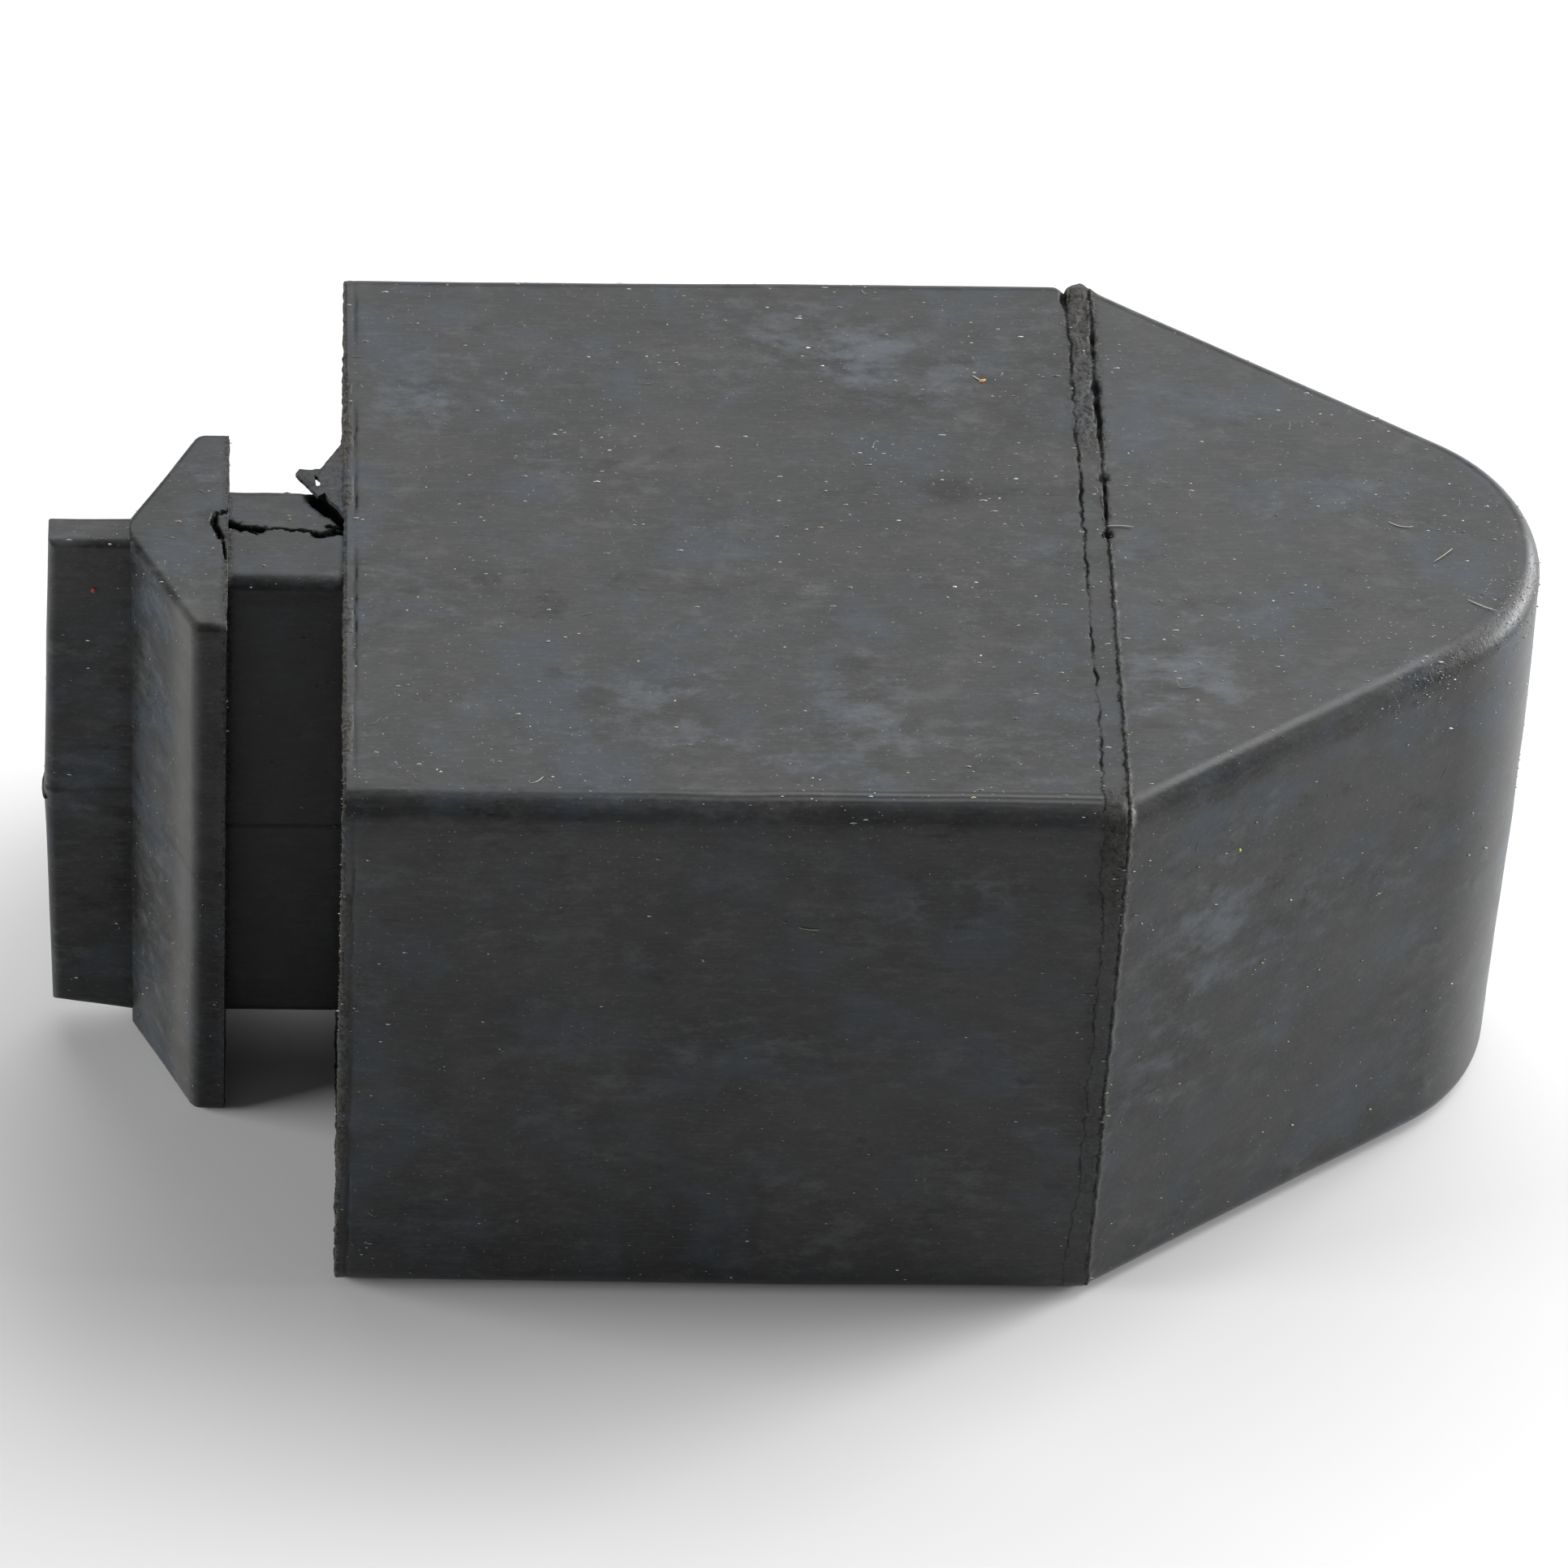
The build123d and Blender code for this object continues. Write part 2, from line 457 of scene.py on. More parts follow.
TIP_DRIFT = (46.0, -17.0), (56.0, -3.5)  # plan of the drift of dust along the tip's near rim

BLOOM_PATCHES = (  # x, y, z and size in mm, and strength
    (5.0, 20.5, 52.0, 5.5, 1.0),
    (-1.0, 22.0, 52.0, 5.0, 0.8),
    (12.5, 18.0, 52.0, 4.5, 0.8),
    (-11.5, -19.8, 52.0, 7.0, 0.7),
    (3.5, -21.0, 52.0, 8.0, 0.7),
    (-28.5, 15.0, 52.0, 6.5, 0.8),
    (28.5, -15.0, 52.0, 7.0, 0.8),
    (31.0, -25.0, 35.0, 7.0, 0.75),
    (28.0, -27.0, 24.0, 7.0, 0.6),
    (11.0, -30.0, 44.0, 6.0, 0.5),
    (40.0, 5.0, 52.0, 7.0, 0.4),
    (-10.0, 30.0, 30.0, 12.0, 0.8),
    (34.0, 22.0, 20.0, 9.0, 0.8),
    (-34.0, 18.0, 30.0, 9.0, 0.6),
)


def bloom_of(points):
    """Where sulphur bloom has come to the surface."""
    total = np.zeros(len(points))
    for x, y, z, size, strength in BLOOM_PATCHES:
        distance = np.linalg.norm(points - (x, y, z), axis=1)
        total = np.maximum(total, strength * falloff(distance, size))
    return total


def dust_of(points):
    """Dust gathers on upward faces and thickest round the nose's tip."""
    distance = np.linalg.norm(points - (TIP_X - 5, -5, HEIGHT), axis=1)
    upward = np.clip((points[:, 2] - 8) / HEIGHT, 0, 1)
    return 0.25 + 0.35 * upward + 0.6 * falloff(distance, 11)


SMEARS = (  # middle in mm, reach along X, Y and Z in mm, and strength
    ((21.5, -30.0, 44.0), (1.0, 2.0, 1.6), 1.0),
    ((21.9, -29.5, 48.5), (0.9, 2.0, 2.4), 1.0),
    ((21.6, -30.2, 30.0), (0.45, 2.0, 9.0), 0.6),
    ((21.5, -30.2, 21.0), (0.7, 2.0, 4.5), 0.7),
    ((23.6, -30.4, 19.0), (0.4, 2.0, 0.8), 1.0),
    ((22.9, -30.4, 24.0), (0.7, 2.0, 6.0), 0.3),
    ((-10.0, 24.0, 52.0), (6.0, 2.0, 2.0), 0.35),
    ((13.0, 5.0, 52.0), (6.5, 1.6, 2.0), 0.45),
    ((4.0, 14.5, 52.0), (8.0, 1.4, 2.0), 0.45),
    ((18.0, 14.0, 52.0), (3.5, 2.2, 2.0), 0.4),
    ((-22.0, -6.0, 52.0), (7.0, 2.4, 2.0), 0.3),
)


def ellipsoid_patches(points, places):
    """Soft ellipsoids that overlap, for dark smudges, painted shade and the pale layer of painted
    light.
    """
    total = np.zeros(len(points))
    for middle, reach, strength in places:
        distance = np.linalg.norm((points - middle) / reach, axis=1)
        total = np.maximum(total, strength * falloff(distance, 1))
    return total


def mould_body(points, normals, seed=3):
    """Gives the block, band and nose their mould lines and slight unevenness."""
    x, _, z = points.T
    shift, depth = mould_lines(points)
    broken = broken_band(points)
    swell = 0.10 * smooth_noise(points, 13, seed) + 0.02 * smooth_noise(points, 3.5, seed + 1)
    rough = 0.16 * broken * ragged_noise(points, 0.55, 61)
    trim = trim_line(points)
    drag_gap, drag = drag_marks(points)
    drift = falloff(to_segment(points, *TIP_DRIFT), 1.5) * falloff(z - HEIGHT + 0.6, 1.3)
    raised = swell + rough + shoulder_ridge(points) + flow_line(points)
    moved = points + normals * (raised - depth - trim)[:, None]
    moved[:, 0] += shift
    return moved, {
        "crack": np.clip(depth / 0.32 - 0.25, 0, 1) + np.clip(trim / 0.20, 0, 0.6),
        "rear_gap": np.clip(x - BAND_X, -FAR_OFF, FAR_OFF),
        "front_gap": np.clip(x - SHOULDER_X, -FAR_OFF, FAR_OFF),
        "rear_open": rear_opening(points),
        "front_open": front_opening(points),
        "drag_gap": drag_gap,
        "drag": drag,
        "crumbs": np.clip(broken + 0.4 * drift, 0, 1),
        # Dark smudges on the body, and painted shade just below the near edge
        "soot_and_shade": np.maximum(ellipsoid_patches(points, SMEARS), edge_shade(points)),
        "bloom": bloom_of(points),
        "dust": dust_of(points),
    }


# ---------------------------------------------------------------- skins of the body


BODY_ACROSS = np.linspace(-1, 1, 200)
body_section = Section(0.0, HEIGHT, EDGE_RADIUS, DRAFT, BODY_ACROSS, 0.45, 18)


def straight_plan(stations):
    """Plan of the body where its stations are planes: sides, then the start of the flanks."""
    x = stations[:, None]

    def plan(inset):
        side = SHOULDER_HALF - SIDE_TAPER * (SHOULDER_X - x) - inset
        reach = FLANK_X * SHOULDER_X + FLANK_Y * SHOULDER_HALF - inset
        return x, np.minimum(side, (reach - FLANK_X * x) / FLANK_Y)

    return plan, np.tile([0.0, 1.0], (len(stations), 1))


def nose_plan(shares, angles):
    """Plan of the nose: the flank by shares of its length, then the tip's arc by angle."""
    share = shares[:, None]
    angle = angles[:, None]

    def plan(inset):
        tangent_x = TIP_CENTRE_X + (TIP_RADIUS - inset) * FLANK_X
        flank_x = SHOULDER_X + share * (tangent_x - SHOULDER_X)
        reach = FLANK_X * SHOULDER_X + FLANK_Y * SHOULDER_HALF - inset
        flank_half = (reach - FLANK_X * flank_x) / FLANK_Y
        arc_x = TIP_CENTRE_X + (TIP_RADIUS - inset) * np.cos(angle)
        arc_half = (TIP_RADIUS - inset) * np.sin(angle)
        return np.concatenate([flank_x, arc_x]), np.concatenate([flank_half, arc_half])

    flank_normals = np.tile([FLANK_X, FLANK_Y], (len(shares), 1))
    arc_normals = np.stack([np.cos(angles), np.sin(angles)], axis=-1)
    return plan, np.concatenate([flank_normals, arc_normals])


def body_skin(name, plan, caps, material):
    """One region of the body as a moulded skin."""
    points, normals, faces = swept_skin(body_section, *plan, *caps)
    points, marks = mould_body(points, normals)
    return make_mesh(name, points, faces, marks, material)


def make_block(material):
    plan = straight_plan(graded(SEAT_X, BAND_X, 0.10, 0.75))
    piece = body_skin("block_rubber", plan, ("grid", "fan"), material)
    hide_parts("main_block")
    return piece


def make_band(material):
    plan = straight_plan(graded(BAND_X, SHOULDER_X, 0.06, 0.14))
    piece = body_skin("shoulder_rubber", plan, ("fan", "fan"), material)
    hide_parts("shoulder_band")
    return piece


def make_nose(material):
    flank_length = (TIP_CENTRE_X + TIP_RADIUS * FLANK_X - SHOULDER_X) / FLANK_Y
    shares = graded(0, flank_length, 0.08, 0.7)[:-1] / flank_length
    angles = np.linspace(math.pi / 2 - FLANK, 0, 30)
    piece = body_skin("nose_rubber", nose_plan(shares, angles), ("fan", None), material)
    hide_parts("wedge_nose")
    return piece


# ---------------------------------------------------------------- skins of the lug


ALL_HEIGHTS = 60.0  # mm, a reach that covers the whole height
NECK_TEARS = (  # on the neck's top: start and end in plan, width and depth in mm
    ((BARB_BACK_X - 0.3, 1.3), (BARB_BACK_X + 0.9, 0.7), 0.24, 1.1),
    ((BARB_BACK_X + 0.9, 0.7), (BARB_BACK_X + 2.6, 0.5), 0.18, 0.9),
    ((BARB_BACK_X + 0.8, 0.9), (BARB_BACK_X + 2.0, 0.1), 0.12, 0.5),
    ((BARB_BACK_X + 2.6, 0.5), (BARB_BACK_X + 4.4, 0.6), 0.06, 0.3),
    ((BARB_BACK_X + 4.4, 0.6), (SEAT_X - 1.8, 0.2), 0.09, 0.6),
    ((SEAT_X - 2.4, 0.0), (SEAT_X, 0.5), 0.20, 0.9),
    ((SEAT_X - 1.4, 0.9), (SEAT_X, 1.0), 0.14, 0.8),
    ((SEAT_X - 2.5, 4.4), (SEAT_X - 1.2, 2.8), 0.52, 1.5),
    ((SEAT_X - 1.2, 2.8), (SEAT_X, 1.2), 0.34, 1.5),
)
BARB_TEARS = (
    ((BARB_BACK_X - 0.9, 1.7), (BARB_BACK_X, 2.0), 0.14, 0.8),
    ((BARB_BACK_X - 1.0, 1.6), (BARB_BACK_X - 1.0, 0.6), 0.17, 0.9),
    ((BARB_BACK_X - 1.0, 0.6), (BARB_BACK_X - 0.5, -0.8), 0.18, 1.0),
    ((BARB_BACK_X - 0.5, -0.8), (BARB_BACK_X - 0.1, -3.2), 0.07, 0.5),
)
LUG_SHADE_AND_SMEARS = (  # painted shade in the lug's corners, on the barb's land and just below the near edges, and darker patches by the tears: middle in mm, reach along X, Y and Z in mm, and strength
    ((BARB_BACK_X - 1.2, barb_low[1], MID_HEIGHT), (1.3, 1.0, ALL_HEIGHTS), 0.85),
    ((BARB_FRONT_X + 0.3, tongue_low[1], MID_HEIGHT), (1.7, 1.7, ALL_HEIGHTS), 0.8),
    ((BARB_FRONT_X - 1.6, tongue_low[1], HEIGHT), (2.4, 0.9, 1.2), 0.9),
    ((BARB_BACK_X + 4.5, neck_low[1], HEIGHT - 1.9), (6.0, 1.0, 1.1), 1.0),
    ((BARB_BACK_X + 0.3, neck_low[1] + 1.0, HEIGHT), (0.5, 4.0, ALL_HEIGHTS), 0.7),
    ((SEAT_X - 0.3, neck_low[1], MID_HEIGHT), (0.5, 1.5, ALL_HEIGHTS), 0.6),
    ((SEAT_X - 2.2, 3.8, HEIGHT), (2.6, 1.8, 2.0), 0.8),
    ((BARB_BACK_X - 1.2, 1.2, HEIGHT), (0.9, 1.4, 2.0), 0.7),
)
LUG_PAINTED_LIGHT = (  # a thin pale layer of painted light on the barb's outer slant and the neck's dim front, placed as the dark patches are
    ((BARB_BACK_X - BARB_LAND - 1.0, barb_low[1] + 1.4, MID_HEIGHT), (1.7, 1.7, ALL_HEIGHTS), 0.55),
    ((BARB_BACK_X - BARB_LAND - 1.2, barb_low[1] + 1.6, 9.0), (1.6, 1.6, 9.0), 0.75),
    ((BARB_BACK_X + 4.5, neck_low[1], 22.0), (7.0, 1.0, 24.0), 0.40),
)


def tear_open(points, tears, top):
    """Depth of the torn crevices in an upper face."""
    ragged = points.copy()
    ragged[:, 0] += 0.22 * ragged_noise(points, 0.7, 71, 4)
    ragged[:, 1] += 0.26 * ragged_noise(points, 0.7, 77, 4)
    depth = np.zeros(len(points))
    for start, end, width, deep in tears:
        depth = np.maximum(depth, deep * falloff(to_segment(ragged, start, end), width))
    return depth * (points[:, 2] > top - 0.6)


def mould_lug(points, normals, tears, top, seed):
    """Unevenness, tears and marks of the neck, barb and tongue."""
    depth = tear_open(points, tears, top)
    x, _, z = points.T
    parting = falloff(z - MID_HEIGHT - 0.15 * smooth_noise(points, 3, seed), 0.16)
    parting = parting * (np.abs(normals[:, 2]) < 0.5)
    swell = 0.07 * smooth_noise(points, 6, seed) + 0.02 * smooth_noise(points, 1.6, seed + 1)
    moved = points + normals * (swell - 0.05 * parting)[:, None]
    moved[:, 2] -= depth
    back_rim = falloff(x - BARB_BACK_X, 0.35) * (np.abs(normals[:, 0]) < 0.5)
    return moved, {
        "crack": np.clip(depth / 0.35 + 0.6 * parting, 0, 1),
        "crumbs": np.clip(0.7 * falloff(depth - 0.12, 0.1) * (depth > 0.02) + back_rim, 0, 1),
        # Painted shade, and darker patches by the tears
        "soot_and_shade": ellipsoid_patches(points, LUG_SHADE_AND_SMEARS),
        # Painted light: a pale layer on the barb's outer slant and the neck's front
        "painted_light_film": ellipsoid_patches(points, LUG_PAINTED_LIGHT),
        "bloom": 0.35 * np.clip(0.4 + smooth_noise(points, 5, seed + 8), 0, 1),
        "dust": 0.45,
    }


def lug_skin(name, section, plan, caps, tears, seed, material):
    """The neck or barb as a moulded skin, with the tears in its upper face."""
    points, normals, faces = swept_skin(section, *plan, *caps)
    points, marks = mould_lug(points, normals, tears, section.level_z[-1], seed)
    return make_mesh(name, points, faces, marks, material)


NECK_OVERLAP = 0.5  # mm that the neck's skin runs into the barb and the block


def make_neck(material):
    """The neck, with points closest together across its tears."""
    near_crack = np.linspace(-0.35, 0.85, 90)
    across = np.concatenate([np.linspace(-1, -0.35, 14)[:-1], near_crack, [0.9, 0.95, 1.0]])
    section = Section(neck_low[2], neck_high[2], NECK_EDGE_RADIUS, 0.0, across, 0.4, 9)
    stations = np.linspace(BARB_BACK_X - NECK_OVERLAP, SEAT_X + NECK_OVERLAP, 90)

    def plan(inset):
        return stations[:, None], neck_high[1] - inset

    sideways = np.tile([0.0, 1.0], (len(stations), 1))
    caps = "fan", "fan"
    piece = lug_skin("neck_rubber", section, (plan, sideways), caps, NECK_TEARS, 31, material)
    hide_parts("mounting_neck")
    return piece


def barb_plan(slant_shares, arc_shares, land_shares):
    """Plan of the barb: the slant, the rounded corner and the land beside the back face."""
    front_half = tongue_high[1]
    corner = np.array([BARB_BACK_X - BARB_LAND, barb_high[1]])
    rise = corner - (BARB_FRONT_X, front_half)
    rise = rise / np.linalg.norm(rise)
    turn = math.atan2(rise[1], rise[0])
    normal = np.array([-math.sin(turn), math.cos(turn)])
    tangent = BARB_CORNER_RADIUS * math.tan(turn / 2)
    centre = corner + (tangent, -BARB_CORNER_RADIUS)
    slant, arc, land = (shares[:, None] for shares in (slant_shares, arc_shares, land_shares))
    heading = math.pi / 2 + turn * (1 - arc)

    def plan(inset):
        end_x = centre[0] + (BARB_CORNER_RADIUS - inset) * normal[0]
        slant_x = BARB_FRONT_X + slant * (end_x - BARB_FRONT_X)
        reach = normal @ (BARB_FRONT_X, front_half) - inset
        slant_half = (reach - normal[0] * slant_x) / normal[1]
        arc_x = centre[0] + (BARB_CORNER_RADIUS - inset) * np.cos(heading)
        arc_half = centre[1] + (BARB_CORNER_RADIUS - inset) * np.sin(heading)
        land_x = centre[0] + land * (BARB_BACK_X - centre[0]) + 0 * inset
        land_half = barb_high[1] - inset + 0 * land
        return (
            np.concatenate([slant_x, arc_x, land_x]),
            np.concatenate([slant_half, arc_half, land_half]),
        )

    normals = np.concatenate([
        np.tile(normal, (len(slant_shares), 1)),
        np.stack([np.cos(heading[:, 0]), np.sin(heading[:, 0])], axis=-1),
        np.tile([0.0, 1.0], (len(land_shares), 1)),
    ])
    return plan, normals


def make_barb(material):
    across = np.linspace(-1, 1, 120)
    section = Section(barb_low[2], barb_high[2], BARB_EDGE_RADIUS, 0.0, across, 0.4, 8)
    slant = np.linspace(0, 1, 36)[:-1]
    arc = np.linspace(0, 1, 12)[:-1]
    land = graded(0, 1, 0.03, 0.10)
    plan, caps = barb_plan(slant, arc, land), ("grid", "grid")
    piece = lug_skin("barb_rubber", section, plan, caps, BARB_TEARS, 37, material)
    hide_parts("retaining_barb")
    return piece


def make_tongue(material):
    """The tongue: its foot rises towards the free end, which is crowned and rounded over."""
    top, foot_root, half = tongue_high[2], tongue_low[2], tongue_high[1]
    length = BARB_FRONT_X - TONGUE_END_X
    turn = np.linspace(0, math.pi / 2, 7)
    rounded = TONGUE_EDGE_RADIUS * (1 - np.cos(turn))
    depth_in = np.concatenate([rounded, np.linspace(1.0, length + 0.4, 24)])
    from_centre = np.clip(TONGUE_EDGE_RADIUS - depth_in, 0, None)
    round_over = TONGUE_EDGE_RADIUS - np.sqrt(
        np.clip(TONGUE_EDGE_RADIUS**2 - from_centre**2, 0, None)
    )
    across = np.linspace(-1, 1, 13)
    section = Section(foot_root, top, TONGUE_EDGE_RADIUS, 0.0, across, 0.4, 7)

    def plan(inset):
        return (TONGUE_END_X + depth_in)[:, None] + 0 * inset, np.minimum(
            half - inset, half - round_over[:, None]
        )

    sideways = np.tile([0.0, 1.0], (len(depth_in), 1))
    points, normals, faces = swept_skin(section, plan, sideways, "grid", "fan")
    free = np.clip((BARB_FRONT_X - points[:, 0]) / length, 0, 1)
    share = (points[:, 2] - foot_root) / (top - foot_root)
    points[:, 2] += (1 - share) * free * (TONGUE_FOOT_END - foot_root)
    from_middle = np.abs(points[:, 2] - MID_HEIGHT) / MID_HEIGHT
    points[:, 0] += free * TONGUE_END_CROWN * from_middle
    points, marks = mould_lug(points, normals, (), top, 43)
    piece = make_mesh("tongue_rubber", points, faces, marks, material)
    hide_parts("pull_tongue")
    return piece


# ---------------------------------------------------------------- flash


def closed_path(section, plan, station, spacing):
    """The rim of a section at one station, evenly spaced, with its outward directions."""
    x, half = np.broadcast_arrays(*plan(section.inset[None, :]))
    path = np.stack([x[station], section.side * half[station], section.z], axis=-1)
    outward = np.stack([0 * section.out, np.sign(section.side) * section.out, section.up], -1)
    ahead = np.roll(path, -1, axis=0)
    reach = np.concatenate([[0], np.cumsum(np.linalg.norm(ahead - path, axis=1))])
    places = np.linspace(0, reach[-1], round(reach[-1] / spacing), endpoint=False)

    def even(values):
        closed = np.concatenate([values, values[:1]])
        return np.stack([np.interp(places, reach, closed[:, i]) for i in range(3)], axis=-1)

    outward = even(outward)
    return even(path), outward / np.linalg.norm(outward, axis=1)[:, None]


def ragged_lip(name, path, outward, profile, growth, seed, material):
    """A crumbly lip along a closed path.

    Each profile point gives how far it lies towards -X, how far outward, and how loose it is.
    Growth is 1 where the lip stands in full and 0 where it has sunk out of sight.
    """
    rows = []
    for number, (back, out, loose) in enumerate(profile):
        stray = ragged_noise(path, 0.55, seed + 10 * number)
        lift = ragged_noise(path, 0.45, seed + 10 * number + 5)
        sunk = 0.35 * (1 - growth)
        row = path + outward * (out * growth + loose * lift * growth - sunk)[:, None]
        row[:, 0] -= back * (0.4 + 0.6 * growth) + loose * stray
        rows.append(row)
    points = np.stack(rows, axis=1)
    # Wound the other way from a tube: it decides how the places that touch are turned
    faces = [[a, d, c, b] for a, b, c, d in ring_faces(*points.shape[:2], loop=True)]
    points = points.reshape(-1, 3)
    marks = {
        "crack": 0.5 * np.clip(ragged_noise(points, 0.5, seed + 3), 0, 1),
        "crumbs": np.clip(0.75 + 0.6 * ragged_noise(points, 0.8, seed + 4), 0, 1),
        "dust": 0.6,
    }
    return make_mesh(name, points, faces, marks, material, sharp_degrees=70)


# Profiles of the lips: mm towards -X, mm outward and how loose each point is
SEAT_PROFILE = (
    (-0.52, -0.08, 0.02), (-0.44, 0.03, 0.04), (-0.12, 0.06, 0.06), (0.24, 0.04, 0.10),
    (0.36, -0.10, 0.10), (0.16, -0.30, 0.04), (-0.15, -0.40, 0.0),
)
SHOULDER_PROFILE = (
    (-0.13, -0.10, 0.03), (-0.05, 0.10, 0.07), (0.06, 0.09, 0.07), (0.13, -0.10, 0.03),
    (0.0, -0.25, 0.0),
)
BARB_PROFILE = (
    (0.20, -0.06, 0.02), (0.14, 0.04, 0.04), (0.0, 0.05, 0.05), (-0.10, -0.02, 0.06),
    (-0.08, -0.18, 0.03), (0.10, -0.25, 0.0),
)
LIP_SPACING = 0.15  # mm between the points along a lip


def make_seat_flash(material):
    """The proud lip that the mould's parting left round the seat face."""
    plan, _ = straight_plan(np.array([SEAT_X]))
    path, outward = closed_path(body_section, plan, 0, LIP_SPACING)
    growth = np.clip(0.8 + 0.45 * ragged_noise(path, 5.0, 101), 0.15, 1.1)
    ragged_lip("rear_edge_flash", path, outward, SEAT_PROFILE, growth, 110, material)


def make_shoulder_flash(material):
    """Crumbs of flash that stand beside the two mould lines."""
    for name, (line_x, seed, reach), offset in (
        ("shoulder_flash_rear", MOULD_LINES[0], 0.26),
        ("shoulder_flash_front", MOULD_LINES[1], -0.24),
    ):
        plan, _ = straight_plan(np.array([line_x + offset]))
        path, outward = closed_path(body_section, plan, 0, 0.14)
        path[:, 0] += wander(path, seed, reach)
        growth = np.clip(0.25 + 1.1 * ragged_noise(path, 2.2, seed + 200), 0, 1)
        ragged_lip(name, path, outward, SHOULDER_PROFILE, growth, seed + 210, material)


def make_barb_flash(material):
    """A thin crumbly edge round the barb's back face."""
    across = np.linspace(-1, 1, 60)
    section = Section(barb_low[2], barb_high[2], BARB_EDGE_RADIUS, 0.0, across, 0.5, 8)
    ends = np.array([0.0, 1.0])
    plan, _ = barb_plan(ends, ends, ends)
    path, outward = closed_path(section, plan, -1, LIP_SPACING)
    growth = np.clip(0.20 + 0.9 * ragged_noise(path, 3.0, 301), 0, 1)
    ragged_lip("barb_edge_flash", path, outward, BARB_PROFILE, growth, 310, material)


WEB_TOP = HEIGHT - 0.18
WEB_THICKNESS = 0.38
WEB_OUTLINE = (  # plan of the torn web: back from the seat face, across from the middle, mm
    (-3.9, 7.1), (-3.6, 7.5), (-2.8, 7.25), (-2.1, 7.3), (-1.7, 7.8), (-1.3, 8.4), (-0.9, 9.2),
    (-0.5, 9.9), (-0.35, 10.6), (-0.1, 12.3), (0.5, 12.3), (0.5, 1.2), (-0.1, 1.5), (-0.7, 2.8),
    (-1.3, 3.5), (-1.7, 4.5), (-2.2, 4.2), (-2.6, 4.9), (-3.1, 5.7), (-3.4, 6.3),
)
WEB_SLIT = ((-2.55, 6.6), (-2.3, 6.4), (-2.1, 5.9), (-2.05, 5.4), (-2.35, 5.35), (-2.45, 6.0))


def make_corner_web(material):
    """The thin torn web in the corner between the neck and the seat face."""
    work = bmesh.new()
    for outline in (WEB_OUTLINE, WEB_SLIT):
        ring = [work.verts.new((SEAT_X + x, y, WEB_TOP)) for x, y in outline]
        for start, end in zip(ring, ring[1:] + ring[:1]):
            work.edges.new((start, end))
    bmesh.ops.subdivide_edges(work, edges=work.edges, cuts=3)
    bmesh.ops.triangle_fill(work, use_beauty=True, edges=work.edges)
    bmesh.ops.subdivide_edges(work, edges=work.edges, cuts=1, use_grid_fill=True)
    bmesh.ops.triangulate(work, faces=work.faces)
    lower = bmesh.ops.extrude_face_region(work, geom=work.faces[:])["geom"]
    for vert in (v for v in lower if isinstance(v, bmesh.types.BMVert)):
        vert.co.z -= WEB_THICKNESS
    work.verts.index_update()
    points = np.array([v.co for v in work.verts])
    faces = [[v.index for v in f.verts] for f in work.faces]
    work.free()
    droop = 0.035 * np.clip(SEAT_X - points[:, 0], 0, None) ** 2
    points[:, 2] += 0.10 * ragged_noise(points, 1.2, 401) - droop
    for axis, seed in ((0, 411), (1, 421)):
        points[:, axis] += 0.10 * ragged_noise(points, 0.8, seed)
    marks = {
        "crack": 0.25 * np.clip(ragged_noise(points, 0.8, 431), 0, 1),
        "crumbs": 0.35,
        "bloom": 0.2,
    }
    make_mesh("corner_web", points, faces, marks, material, sharp_degrees=60)


def make_tongue_tick(material):
    """The tick of flash where the parting line runs off the tongue's free end."""
    along = full_turn(28)
    levels = np.linspace(-1, 1, 9)
    rings = []
    for level in levels:
        size = math.sqrt(max(0.02, 1 - level**2))
        x = TONGUE_END_X + 0.05 + 0.30 * size * np.cos(along)
        y = 1.55 * (0.3 + 0.7 * size) * np.sin(along)
        rings.append(np.stack([x, y, MID_HEIGHT - 1.1 + 0.28 * level + 0 * x], axis=-1))
    points = np.stack(rings).reshape(-1, 3)
    points += 0.05 * np.stack([ragged_noise(points, 0.5, 440 + i) for i in range(3)], -1)
    faces = closed_tube(len(levels), len(along))
    marks = {"crack": 0.2, "crumbs": 0.5}
    make_mesh("tongue_parting_flash", points, faces, marks, material, sharp_degrees=60)


# ---------------------------------------------------------------- dust and lint


def surface_samples(pieces, count, rng, weight):
    """Random places on the pieces' faces, with normals, drawn by area times weight."""
    centres, normals, areas = [], [], []
    for piece in pieces:
        polygons = piece.data.polygons
        for values, name, width in ((centres, "center", 3), (normals, "normal", 3),
                                    (areas, "area", 1)):
            numbers = np.empty(len(polygons) * width)
            polygons.foreach_get(name, numbers)
            values.append(numbers.reshape(-1, width))
    centres, normals = np.concatenate(centres) / MM, np.concatenate(normals)
    chance = np.concatenate(areas)[:, 0] * weight(centres, normals)
    picked = rng.choice(len(centres), count, p=chance / chance.sum())
    jitter = np.cross(normals[picked], rng.normal(0, 0.15, (count, 3)))
    return centres[picked] + jitter, normals[picked]


